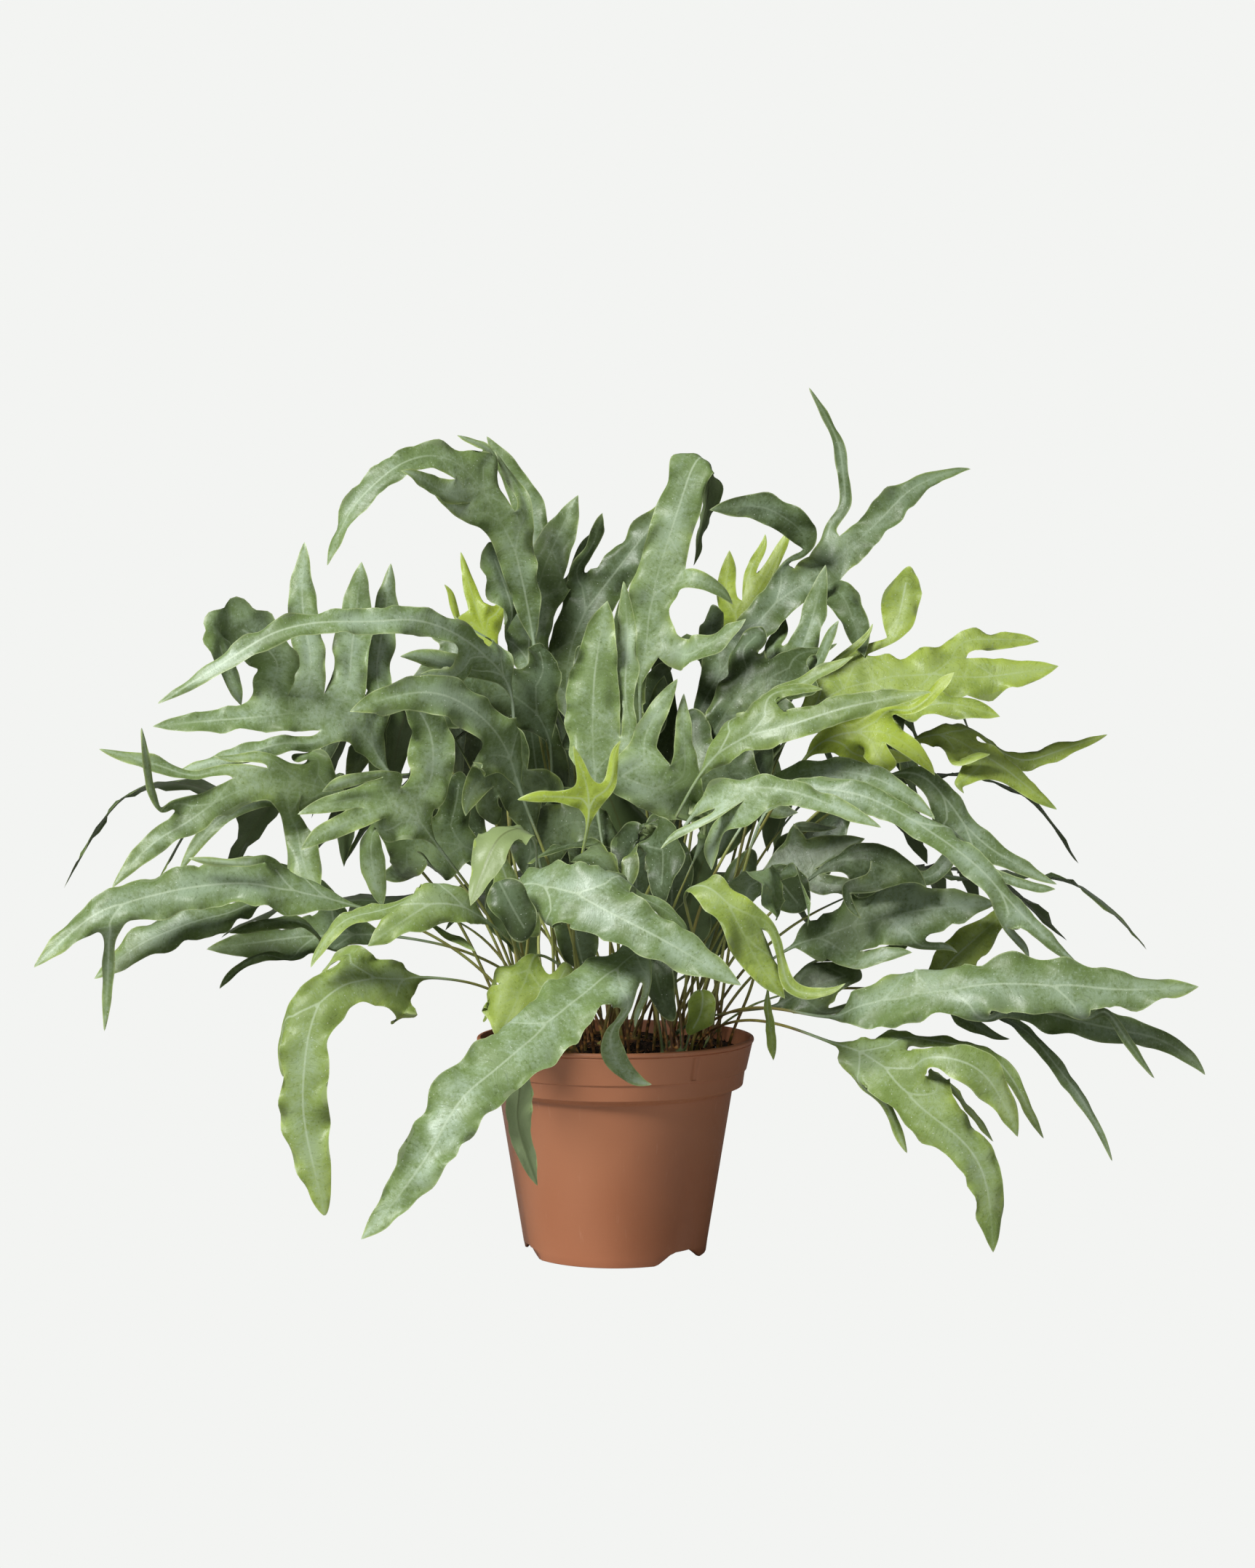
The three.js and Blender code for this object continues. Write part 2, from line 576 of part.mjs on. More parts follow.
// Sprays in the middle: the ends of each one's rhizome on the soil, how high its middle stands, and its
// blades, each its width and its points as seen
const INNER_SPRAYS = {
  spray_front_left: {
    rhizome: [[-20, -58], [-46, -50]],
    rise: 13,
    blades: [
      [24, [-18, 168, -34], [-24, 190, -38], [-26, 210, -40], [-20, 232, -40]],
      [26, [-36, 226, -60], [-40, 246, -64], [-36, 266, -66], [-26, 288, -66]],
      [22, [-50, 172, -12], [-60, 194, -16], [-70, 216, -18], [-78, 238, -18]],
      [23, [-73, 229, -110], [-69, 220, -114], [-61, 205, -116], [-51, 189, -116]],
    ],
  },
  spray_front_right: {
    rhizome: [[24, -60], [46, -52]],
    rise: 6,
    blades: [
      [20, [6, 206, -70], [0, 218, -74], [-9, 239, -76]],
      [28, [12, 204, -50], [13, 224, -54], [12, 244, -56], [9, 265, -56]],
      [24, [34, 204, -60], [35, 228, -64], [32, 250, -64], [23, 272, -62]],
      [26, [52, 172, -30], [62, 198, -36], [72, 224, -36], [86, 248, -32]],
      [26, [36, 168, -20], [42, 198, -26], [50, 228, -28], [60, 256, -26]],
      [24, [92, 236, -60], [104, 222, -66], [117, 206, -68]],
    ],
  },
  spray_centre: {
    rhizome: [[-12, -4], [16, 4]],
    rise: 0,
    blades: [
      [32, [-84, 232, 30], [-98, 266, 36], [-116, 298, 38]],
      [34, [-40, 236, 40], [-46, 276, 46], [-52, 318, 48], [-56, 352, 46]],
      [28, [4, 226, -16], [6, 250, -20], [0, 270, -22], [-10, 292, -20]],
      [34, [10, 246, 40], [16, 288, 44], [24, 330, 46], [30, 366, 44]],
      [34, [60, 236, 40], [72, 274, 46], [86, 312, 48], [98, 344, 44]],
      [32, [96, 222, 20], [120, 248, 24], [146, 270, 24]],
    ],
  },
};

// Fronds at the back. Each spray stands on a rhizome: its two ends on the soil, and its fronds by their
// compass angle (0 is +X, 90 the back), how far they reach and how high they rise.
const TIERS = [
  { reach: 150, rise: 225 },
  { reach: 245, rise: 150 },
  { reach: 195, rise: 190 },
  { reach: 270, rise: 85 },
];
const SPRAYS = {
  spray_back_left: { rhizome: [[-58, 28], [-44, 52]], from: 172, to: 108, count: 5 },
  spray_back_middle: { rhizome: [[-20, 56], [12, 60]], from: 118, to: 62, count: 5 },
  spray_back_right: { rhizome: [[44, 52], [60, 26]], from: 72, to: 4, count: 5 },
};
const SPRAY = {
  width: 23,
  lobeWidth: 17,
  reachDraw: 22,
  riseDraw: 22,
  droop: 0.25,
  droopDraw: 0.3,
  angleDraw: 7,
  fewestLobes: 3,
  seeds: 100,
  sunk: 1.5,
  bladeStep: 30,
  lobeStep: 28,
};

// Rhizomes, the creeping stems that carry the sprays
const RHIZOME = { radius: 4, endRadius: 2.2, sides: 7, knob: 0.16, sunk: 1.2, gap: 0.4, steps: 7 };

const SEED = 7790;

// Draws from 0 to 1, the same every time
function draws(seed) {
  let state = (SEED + seed * 7919) % 4294967296;
  const next = () => {
    state = (state * 1664525 + 1013904223) % 4294967296;
    return state / 4294967296;
  };
  next();
  next();
  return next;
}

const radians = (degrees) => (degrees * Math.PI) / 180;

// The place of a point that is written as seen, pushed away from the eye by bend
function seen([across, up, behind], bend) {
  const depth = behind + bend;
  const scale = 1 + depth / EYE.distance;
  return new Vector3(EYE.across + (across - EYE.across) * scale, depth, EYE.height + (up - EYE.height) * scale);
}

// The place of a point that is written as x, y and z, lifted by bend
function lifted([x, y, z], bend) {
  return new Vector3(x, y, z + bend);
}

// A smooth line through the points, with the same number of pieces between each two
const PIECES = 6;
function smooth(points) {
  const last = points.length - 1;
  const slope = (k) => {
    const before = points[Math.max(k - 1, 0)];
    const after = points[Math.min(k + 1, last)];
    const length =
      (k > 0 ? points[k].distanceTo(before) : 0) + (k < last ? points[k].distanceTo(after) : 0);
    return after.clone().sub(before).divideScalar(length);
  };
  const line = [points[0].clone()];
  for (let k = 0; k < last; k++) {
    const span = points[k].distanceTo(points[k + 1]);
    const leave = slope(k).multiplyScalar(span);
    const arrive = slope(k + 1).multiplyScalar(span);
    for (let piece = 1; piece <= PIECES; piece++) {
      const t = piece / PIECES;
      const point = points[k].clone().multiplyScalar((1 + 2 * t) * (1 - t) ** 2);
      point.addScaledVector(leave, t * (1 - t) ** 2);
      point.addScaledVector(points[k + 1], t * t * (3 - 2 * t));
      point.addScaledVector(arrive, t * t * (t - 1));
      line.push(point);
    }
  }
  return line;
}

function lengthOf(line) {
  let length = 0;
  for (let k = 1; k < line.length; k++) length += line[k].distanceTo(line[k - 1]);
  return length;
}

// Points at equal steps along a line
function evenly(line, count) {
  const step = lengthOf(line) / count;
  const points = [line[0].clone()];
  let done = 0;
  for (let k = 1; k < line.length; k++) {
    const piece = line[k].distanceTo(line[k - 1]);
    while (points.length < count && done + piece >= points.length * step) {
      points.push(line[k - 1].clone().lerp(line[k], (points.length * step - done) / piece));
    }
    done += piece;
  }
  points.push(line[line.length - 1].clone());
  return points;
}

// Points at equal steps, the last but one moved towards the tip so that the tip comes out blunt
function bluntly(line, count) {
  const points = evenly(line, count);
  points[count - 1].lerp(points[count], BLADE.blunt);
  return points;
}

// The part of a direction that lies across a line's direction, as a unit vector
function across(direction, along) {
  return direction.clone().addScaledVector(along, -direction.dot(along)).normalize();
}

// How far along its length a strap's cross-section stands, from 0 to 1
function shareOf(k, count) {
  return (k === count - 1 ? k + BLADE.blunt : k) / count;
}

function directions(points) {
  return points.map((point, k) =>
    points[Math.min(k + 1, points.length - 1)].clone().sub(points[Math.max(k - 1, 0)]).normalize(),
  );
}

// A direction turned with a line, from one direction of the line to the next
function turnedWith(direction, from, to) {
  return direction.clone().applyQuaternion(new THREE.Quaternion().setFromUnitVectors(from, to));
}

// The way that a blade's face looks at each point: carried along, and turned a little towards where the
// frond faces, unless the blade has folded over
function carry(normal, from, along, face) {
  const next = turnedWith(normal, from, along);
  const wanted = across(face, along);
  if (next.dot(wanted) > 0) next.addScaledVector(wanted, BLADE.turn);
  return across(next, along);
}

// The most that a strap may reach sideways where its line turns sideways, so that its edge doesn't fold back
function roomInBend(stations, k, side) {
  const before = stations[k].clone().sub(stations[k - 1]);
  const after = stations[k + 1].clone().sub(stations[k]);
  const turn = Math.abs(after.clone().normalize().sub(before.clone().normalize()).dot(side));
  return turn > 0 ? (0.45 * (before.length() + after.length())) / turn : Infinity;
}

// The width of a blade along its length, as a share of its widest
function bladeShape(t) {
  const grown = Math.min(1, t / 0.16) ** 0.7;
  const past = Math.max(0, (t - 0.5) / 0.5);
  return grown * (1 - past * past) ** BLADE.taper;
}

function lobeShape(t) {
  const grown = 0.72 + 0.28 * Math.sin((Math.PI / 2) * Math.min(1, t / 0.4));
  const past = Math.max(0, (t - 0.45) / 0.55);
  return grown * (1 - past * past) ** BLADE.taper;
}

// Half the width of a strap. The fronds' widths are as seen, and their faces are tilted away from the eye.
function widthAt(width, shape, draw) {
  return (width / 2) * BLADE.tilt * shape * (1 + BLADE.waver * (draw * 2 - 1));
}

// One cross-section: left edge, rib, right edge and underside, with the edges waved up and down
function section(point, along, normal, half, thick, wave = 0, twist = 0) {
  const side = along.clone().cross(normal);
  const edge = (sign, lift) => point.clone().addScaledVector(side, sign * half).addScaledVector(normal, lift);
  return {
    point,
    along,
    normal,
    side,
    corners: [
      edge(-1, wave + twist),
      point.clone().addScaledVector(normal, thick),
      edge(1, wave - twist),
      point.clone().addScaledVector(normal, -thick),
    ],
  };
}

// The triangles between two cross-sections, split alike above and below
const SIDES = [
  [[0, 0], [0, 1], [1, 1], [0, 0], [1, 1], [1, 0]],
  [[0, 1], [0, 2], [1, 1], [0, 2], [1, 2], [1, 1]],
  [[0, 2], [0, 3], [1, 3], [0, 2], [1, 3], [1, 2]],
  [[0, 3], [0, 0], [1, 3], [0, 0], [1, 0], [1, 3]],
];

// A strap's triangles, from one cross-section number to its tip, for the test of what crosses what
function trianglesOf(strap, from = 0) {
  const list = [];
  const { sections, tip } = strap;
  for (let k = from; k + 1 < sections.length; k++) {
    const pair = [sections[k].corners, sections[k + 1].corners];
    for (const side of SIDES) {
      for (let n = 0; n < 6; n += 3) {
        list.push(side.slice(n, n + 3).map(([end, corner]) => pair[end][corner]));
      }
    }
  }
  const last = sections[sections.length - 1].corners;
  for (let n = 0; n < 4; n++) list.push([last[n], last[(n + 1) % 4], tip]);
  return list;
}

// Boxed triangles, which the crossing test reads
function boxed(triangles) {
  const flat = new Float64Array(triangles.length * 9);
  const boxes = new Float64Array(triangles.length * 6);
  const whole = [Infinity, Infinity, Infinity, -Infinity, -Infinity, -Infinity];
  triangles.forEach((corners, n) => {
    for (let axis = 0; axis < 3; axis++) {
      const values = corners.map((corner) => corner.getComponent(axis));
      values.forEach((value, k) => (flat[n * 9 + k * 3 + axis] = value));
      boxes[n * 6 + axis] = Math.min(...values);
      boxes[n * 6 + 3 + axis] = Math.max(...values);
      whole[axis] = Math.min(whole[axis], boxes[n * 6 + axis]);
      whole[3 + axis] = Math.max(whole[3 + axis], boxes[n * 6 + 3 + axis]);
    }
  });
  return { flat, boxes, whole, count: triangles.length };
}

function apart(a, i, b, j) {
  for (let axis = 0; axis < 3; axis++) {
    if (a[i + axis] > b[j + 3 + axis] || b[j + axis] > a[i + 3 + axis]) return true;
  }
  return false;
}

// Whether the edge from corner p to corner q of one triangle goes through the triangle at b. Edges that
// only touch, as at a shared corner, don't count.
const TOUCH = 1e-6;
function pierces(a, p, q, t, b) {
  const dx = a[q] - a[p];
  const dy = a[q + 1] - a[p + 1];
  const dz = a[q + 2] - a[p + 2];
  const ux = t[b + 3] - t[b];
  const uy = t[b + 4] - t[b + 1];
  const uz = t[b + 5] - t[b + 2];
  const vx = t[b + 6] - t[b];
  const vy = t[b + 7] - t[b + 1];
  const vz = t[b + 8] - t[b + 2];
  const nx = dy * vz - dz * vy;
  const ny = dz * vx - dx * vz;
  const nz = dx * vy - dy * vx;
  const size = ux * nx + uy * ny + uz * nz;
  if (Math.abs(size) < 1e-12) return false;
  const sx = a[p] - t[b];
  const sy = a[p + 1] - t[b + 1];
  const sz = a[p + 2] - t[b + 2];
  const first = (sx * nx + sy * ny + sz * nz) / size;
  if (first < TOUCH || first > 1 - TOUCH) return false;
  const mx = sy * uz - sz * uy;
  const my = sz * ux - sx * uz;
  const mz = sx * uy - sy * ux;
  const second = (dx * mx + dy * my + dz * mz) / size;
  if (second < TOUCH || first + second > 1 - TOUCH) return false;
  const way = (vx * mx + vy * my + vz * mz) / size;
  return way > TOUCH && way < 1 - TOUCH;
}

function crosses(one, other) {
  if (apart(one.whole, 0, other.whole, 0)) return false;
  for (let i = 0; i < one.count; i++) {
    if (apart(one.boxes, i * 6, other.whole, 0)) continue;
    for (let j = 0; j < other.count; j++) {
      if (apart(one.boxes, i * 6, other.boxes, j * 6)) continue;
      for (let k = 0; k < 3; k++) {
        const from = k * 3;
        const to = ((k + 1) % 3) * 3;
        if (pierces(one.flat, i * 9 + from, i * 9 + to, other.flat, j * 9)) return true;
        if (pierces(other.flat, j * 9 + from, j * 9 + to, one.flat, i * 9)) return true;
      }
    }
  }
  return false;
}

// What stands in the way of new straps: every strap placed so far
const placed = [];

// Whether a corner would be in the pot or its soil, or under the surface that the pot stands on. A stipe
// may be inside the pot, clear of its rim.
function inPot(corner, isStipe) {
  const radius = Math.hypot(corner.x, corner.y);
  if (corner.z < POT_CLEAR) return true;
  if (corner.z > POT.height + POT_CLEAR || radius > POT.rimRadius + POT_CLEAR) return false;
  return isStipe ? radius > POT.rimRadius - 3 * POT_CLEAR : true;
}

// Whether a strap folds through itself
function foldsOver(strap) {
  const list = trianglesOf(strap).map((triangle) => boxed([triangle]));
  return list.some((one, n) => list.slice(n + 1).some((other) => crosses(one, other)));
}

function isClear(test, own) {
  return placed.every((strap) =>
    strap.frond === own
      ? !crosses(test.own, strap.thin) && !crosses(test.root, strap.thin)
      : !crosses(test.all, strap.thin),
  );
}

// A frond's main strap: its foot in the soil, its stipe, and its blade out to the tip
function spineOf(frond, seed, bend, sway, extra = 0) {
  const next = draws(seed);
  const phase = next() < 0.5 ? 1 : -1;
  const [width, ...points] = frond.blade;
  const blade = points.map((point) => frond.place(point, bend));
  const collar = new Vector3(frond.foot.x, frond.foot.y, frond.foot.z + STIPE.collar);
  const base = blade[0];
  const middle = collar.clone().lerp(base, 0.5);
  const out = base.clone().sub(collar).setZ(0);
  middle.addScaledVector(out, -STIPE.bowIn).addScaledVector(UP, STIPE.bowUp * out.length());
  middle.addScaledVector(out.normalize().cross(UP), sway);
  const line = smooth([collar, middle, ...blade]);
  const stipeLine = line.slice(0, 2 * PIECES + 1);
  const bladeLine = line.slice(2 * PIECES);
  const stipeCount = Math.max(3, Math.round(lengthOf(stipeLine) / STIPE.step));
  const bladeCount = Math.max(4, Math.round(lengthOf(bladeLine) / (frond.bladeStep ?? BLADE.step)));
  const stations = [
    new Vector3(frond.foot.x, frond.foot.y, frond.foot.z - frond.sunk),
    ...evenly(stipeLine, stipeCount),
    ...bluntly(bladeLine, bladeCount).slice(1),
  ];
  const start = stipeCount + 1;
  const along = directions(stations);
  along[0] = UP.clone();
  along[1] = UP.clone();
  const normals = [];
  normals[start] = across(frond.face, along[start]);
  for (let k = start + 1; k < stations.length; k++) {
    normals[k] = carry(normals[k - 1], along[k - 1], along[k], frond.face);
  }
  for (let k = start - 1; k >= 0; k--) normals[k] = turnedWith(normals[k + 1], along[k + 1], along[k]);
  const sections = [];
  for (let k = 0; k + 1 < stations.length; k++) {
    const t = shareOf(k - start, bladeCount);
    const grown = Math.min(1, k / start);
    const stalk = STIPE.radius + (STIPE.tipRadius - STIPE.radius) * grown + extra * TEST_STIPE;
    if (k <= start) {
      sections.push(section(stations[k], along[k], normals[k], stalk, stalk));
    } else {
      const flutter = phase * (k % 2 ? 1 : -1);
      const side = along[k].clone().cross(normals[k]);
      const wanted = widthAt(width, bladeShape(t), next());
      const half = Math.min(wanted, roomInBend(stations, k, side));
      const thick = ((extra ? TEST_THICKNESS : BLADE.thickness) / 2) * (1 - BLADE.thinning * t);
      const wave = half * BLADE.ruffle * flutter * (0.5 + next());
      sections.push(section(stations[k], along[k], normals[k], half, thick, wave, wave * (next() - 0.5)));
    }
  }
  return { sections, tip: stations[stations.length - 1], bend, start, taken: { "-1": {}, 1: {} } };
}

// The free edge of the spine that is nearest to where a lobe leaves the rib
function edgeFor(frond, spine, lobe) {
  const root = frond.place(lobe[1], spine.bend);
  const towards = frond.place(lobe[2], spine.bend);
  let best = null;
  for (let k = spine.start + 1; k + 1 < spine.sections.length; k++) {
    const [here, next] = [spine.sections[k], spine.sections[k + 1]];
    const middle = here.point.clone().lerp(next.point, 0.5);
    const side = towards.clone().sub(middle).dot(here.side) > 0 ? 1 : -1;
    const gap = frond.flatRoots ? middle.distanceTo(root) : seenGap(middle, root);
    if (!spine.taken[side][k] && (!best || gap < best.gap)) best = { k, side, gap };
  }
  return best;
}

// How far apart two places look from the eye, so that a lobe's root needs no depth
function seenGap(a, b) {
  const look = (place) => EYE.distance / (EYE.distance + place.y);
  const acrossGap = (a.x - EYE.across) * look(a) - (b.x - EYE.across) * look(b);
  const upGap = (a.z - EYE.height) * look(a) - (b.z - EYE.height) * look(b);
  return Math.hypot(acrossGap, upGap);
}

// A lobe: a strap that grows out of one edge of the spine
function lobeOf(frond, seed, spine, lobe, edge, bend, slim, extra = 0) {
  const next = draws(seed);
  const phase = next() < 0.5 ? 1 : -1;
  const [width, , ...points] = lobe;
  const here = spine.sections[edge.k];
  const there = spine.sections[edge.k + 1];
  const corner = edge.side > 0 ? 2 : 0;
  const near = here.corners[corner];
  const far = there.corners[corner];
  const middle = near.clone().lerp(far, 0.5);
  const outward = here.side.clone().multiplyScalar(edge.side);
  const places = points.map((point, k) => frond.place(point, spine.bend + (bend * (k + 1)) / points.length));
  const leave = places[0].clone().sub(middle).normalize();
  const shoulder = middle.clone().addScaledVector(outward, LOBE.shoulder).addScaledVector(leave, LOBE.leave);
  const line = smooth([middle, shoulder, ...places]);
  const count = Math.max(3, Math.round(lengthOf(line) / (frond.lobeStep ?? LOBE.step)));
  const stations = bluntly(line, count);
  const along = directions(stations);
  const thickness = extra ? TEST_THICKNESS : BLADE.thickness;
  const rib = here.point.clone().lerp(there.point, 0.5);
  const lift = far.clone().sub(near).cross(middle.clone().sub(rib)).normalize();
  lift.multiplyScalar((edge.side * thickness) / -2);
  const root = {
    point: middle,
    corners: [
      edge.side > 0 ? far : near,
      middle.clone().add(lift),
      edge.side > 0 ? near : far,
      middle.clone().sub(lift),
    ],
  };
  const sections = [root];
  let normal = here.normal;
  for (let k = 1; k < count; k++) {
    const t = shareOf(k, count);
    normal = carry(normal, k > 1 ? along[k - 1] : outward, along[k], frond.face);
    const side = along[k].clone().cross(normal);
    const wanted = widthAt(width, lobeShape(t), next());
    let half = Math.min(wanted, roomInBend(stations, k, side));
    if (k <= 2) {
      half *= slim;
      const room = stations[k].clone().sub(middle).dot(outward) - LOBE.clear;
      const lean = Math.abs(side.dot(outward));
      if (half * lean > room) half = Math.max(LOBE.clear, room / lean);
    }
    const flutter = phase * (k % 2 ? 1 : -1);
    const wave = half * BLADE.ruffle * flutter * (0.5 + next());
    const thick = (thickness / 2) * (1 - BLADE.thinning * t);
    sections.push(section(stations[k], along[k], normal, half, thick, wave, wave * (next() - 0.5)));
  }
  return { sections, tip: stations[count], bend, edge };
}

// The first trial of a strap that comes clear of everything placed before it, or null
function settle(name, trials, make) {
  for (const trial of trials) {
    const fat = make(trial, 1);
    const stalk = fat.start ?? -1;
    if (fat.sections.some((part, k) => part.corners.some((corner) => inPot(corner, k <= stalk)))) continue;
    const strap = make(trial, 0);
    if (foldsOver(strap)) continue;
    const test = {
      all: boxed(trianglesOf(fat)),
      own: boxed(trianglesOf(fat, 1)),
      root: boxed(fat.edge ? trianglesOf(strap).slice(0, 2 * SIDES.length) : []),
    };
    if (isClear(test, name)) {
      placed.push({ frond: name, thin: boxed(trianglesOf(strap)) });
      return strap;
    }
  }
  return null;
}

const SPINE_TRIALS = BENDS.flatMap((bend) => SWAYS.map((sway) => [bend, sway]));
const LOBE_TRIALS = BENDS.flatMap((bend) => SLIMS.map((slim) => [bend, slim]));

// A frond's main strap with its lobes, each bent clear. What finds no clear place is left out.
const MOST_LOBES = 40;
function growFrond(name, frond, index) {
  const seed = index * MOST_LOBES;
  const spine = settle(name, SPINE_TRIALS, ([bend, sway], extra) => spineOf(frond, seed, bend, sway, extra));
  if (!spine) return null;
  frond.lobes.forEach((lobe, n) => {
    const edge = edgeFor(frond, spine, lobe);
    const makeLobe = ([bend, slim], extra) => lobeOf(frond, seed + n + 1, spine, lobe, edge, bend, slim, extra);
    const grown = edge && settle(name, LOBE_TRIALS, makeLobe);
    if (grown) spine.taken[edge.side][edge.k] = grown;
  });
  return spine;
}

// One closed surface of a frond: its spine with the lobes stitched into its edges
function skin(spine) {
  const corners = [];
  const faces = [];
  const add = (corner) => corners.push(corner) - 1;
  const face = (a, b, c) => faces.push(a, b, c);
  const loft = (from, to, sides = SIDES) => {
    const pair = [from, to];
    for (const side of sides) {
      for (let n = 0; n < 6; n += 3) face(...side.slice(n, n + 3).map(([end, corner]) => pair[end][corner]));
    }
  };
  const close = (ring, tip) => {
    const point = add(tip);
    for (let n = 0; n < 4; n++) face(ring[n], ring[(n + 1) % 4], point);
  };
  const rings = spine.sections.map((part) => part.corners.map(add));
  const foot = rings[0];
  face(foot[1], foot[0], foot[3]);
  face(foot[1], foot[3], foot[2]);
  for (let k = 0; k + 1 < rings.length; k++) {
    const [here, there] = [rings[k], rings[k + 1]];
    const right = spine.taken[1][k];
    const left = spine.taken[-1][k];
    if (right) {
      const [over, under] = [add(right.sections[0].corners[1]), add(right.sections[0].corners[3])];
      face(here[1], here[2], over);
      face(here[1], over, there[1]);
      face(over, there[2], there[1]);
      face(here[2], here[3], under);
      face(here[3], there[3], under);
      face(there[3], there[2], under);
      grow(right, [there[2], over, here[2], under]);
    } else {
      loft(here, there, SIDES.slice(1, 3));
    }
    if (left) {
      const [over, under] = [add(left.sections[0].corners[1]), add(left.sections[0].corners[3])];
      face(here[0], here[1], over);
      face(here[1], there[1], over);
      face(there[1], there[0], over);
      face(here[3], here[0], under);
      face(here[3], under, there[3]);
      face(under, there[0], there[3]);
      grow(left, [here[0], over, there[0], under]);
    } else {
      loft(here, there, [SIDES[0], SIDES[3]]);
    }
  }
  close(rings[rings.length - 1], spine.tip);
  function grow(lobe, root) {
    let ring = root;
    for (const part of lobe.sections.slice(1)) {
      const next = part.corners.map(add);
      loft(ring, next);
      ring = next;
    }
    close(ring, lobe.tip);
  }
  return { corners, faces };
}

function solidOf({ corners, faces }) {
  const vertProperties = new Float32Array(corners.flatMap((corner) => [corner.x, corner.y, corner.z]));
  const mesh = new wasm.Mesh({ numProp: 3, vertProperties, triVerts: new Uint32Array(faces) });
  return new wasm.Manifold(mesh);
}

function solidOfGeometry(geometry) {
  const bare = new THREE.BufferGeometry();
  bare.setAttribute("position", geometry.getAttribute("position"));
  if (geometry.index) bare.setIndex(geometry.index);
  const merged = mergeVertices(bare, 1e-4);
  const vertProperties = new Float32Array(merged.attributes.position.array);
  const faces = [];
  const index = merged.index.array;
  for (let n = 0; n < index.length; n += 3) {
    const [a, b, c] = [index[n], index[n + 1], index[n + 2]];
    if (a !== b && b !== c && a !== c) faces.push(a, b, c);
  }
  return new wasm.Manifold(new wasm.Mesh({ numProp: 3, vertProperties, triVerts: new Uint32Array(faces) }));
}

function geometryOf(solid) {
  const mesh = solid.getMesh();
  const geometry = new THREE.BufferGeometry();
  geometry.setAttribute("position", new THREE.BufferAttribute(new Float32Array(mesh.vertProperties), 3));
  geometry.setIndex(new THREE.BufferAttribute(new Uint32Array(mesh.triVerts), 1));
  const flat = geometry.toNonIndexed();
  flat.computeVertexNormals();
  return flat;
}

// A body turned round an outline of radius and height, the outline from the axis back to the axis
function turned(outline) {
  const points = outline.map(([radius, height]) => new THREE.Vector2(radius, height));
  const geometry = new THREE.LatheGeometry(points, POT.sides);
  geometry.rotateX(Math.PI / 2);
  return geometry;
}

// The inside of the pot's wall above the floor, from the collar down
const INNER_WALL = [
  [78.6, 112.6],
  [76.6, 103.4],
  [70, 99.2],
];

function makePot() {
  const { height, rimRadius, rimHeight, footRadius, wall, floorUnder, floorThickness, padRadius } = POT;
  const floorTop = floorUnder + floorThickness;
  const outside = [
    [footRadius, 0],
    [footRadius + 0.9, 6.6],
    [STEP_UNDER_COLLAR.lowRadius, STEP_UNDER_COLLAR.low],
    [74.5, 100.3],
    [STEP_UNDER_COLLAR.highRadius, STEP_UNDER_COLLAR.high],
    [79.5, 111.2],
    [COLLAR.lowRadius, COLLAR.low],
    [COLLAR.highRadius, COLLAR.high],
    [COLLAR.highRadius - 0.6, height - rimHeight],
    [rimRadius, height - rimHeight + 0.6],
    [rimRadius, height - 0.6],
    [rimRadius - 0.8, height],
  ];
  const inside = [
    [rimRadius - 2.3, height],
    [rimRadius - 2.7, height - rimHeight],
    ...INNER_WALL,
    [footRadius - wall, floorTop],
    [0, floorTop],
  ];
  const underside = [
    [0, 0],
    [padRadius, 0],
    [padRadius + 1, floorUnder],
    [footRadius - wall - 0.4, floorUnder],
    [footRadius - wall, 0],
  ];
  let pot = solidOfGeometry(turned([...underside, ...outside, ...inside]));
  for (const angle of FOOT_NOTCH.angles) pot = pot.subtract(footNotch(angle));
  for (const angle of COLLAR_GROOVE.angles) pot = pot.subtract(collarGroove(angle));
  for (let n = 0; n < DRAIN.count; n++) pot = pot.subtract(drainHole((n + 0.5) / DRAIN.count));
  return pot;
}

// A drainage notch in the foot, with slanted ends, at an angle from the front towards +X
function footNotch(angle) {
  const { height, low, high, reach } = FOOT_NOTCH;
  const outside = 8;
  const below = 1;
  const outline = new THREE.Shape();
  outline.moveTo(-low / 2, -below);
  outline.lineTo(low / 2, -below);
  outline.lineTo(low / 2, 0);
  outline.lineTo(high / 2, height);
  outline.lineTo(-high / 2, height);
  outline.lineTo(-low / 2, 0);
  outline.closePath();
  const cutter = new THREE.ExtrudeGeometry(outline, { depth: outside + reach, bevelEnabled: false });
  cutter.rotateX(Math.PI / 2);
  cutter.translate(0, reach - POT.footRadius, 0);
  cutter.rotateZ(radians(angle));
  return solidOfGeometry(cutter);
}

// An upright groove in the collar
function collarGroove(angle) {
  const { width, depth, from, to } = COLLAR_GROOVE;
  const thick = 6;
  const cutter = new THREE.BoxGeometry(width, thick, to - from);
  cutter.rotateX(Math.atan2(COLLAR.highRadius - COLLAR.lowRadius, COLLAR.high - COLLAR.low));
  const surface = (COLLAR.lowRadius + COLLAR.highRadius) / 2;
  cutter.translate(0, depth - surface - thick / 2, (from + to) / 2);
  cutter.rotateZ(radians(angle));
  return solidOfGeometry(cutter);
}

function drainHole(turn) {
  const { radius, ring, sides } = DRAIN;
  const { floorUnder, floorThickness } = POT;
  const cutter = new THREE.CylinderGeometry(radius, radius, 4 * floorThickness, sides);
  cutter.rotateX(Math.PI / 2);
  const angle = turn * 2 * Math.PI;
  cutter.translate(ring * Math.cos(angle), ring * Math.sin(angle), floorUnder + floorThickness / 2);
  return solidOfGeometry(cutter);
}

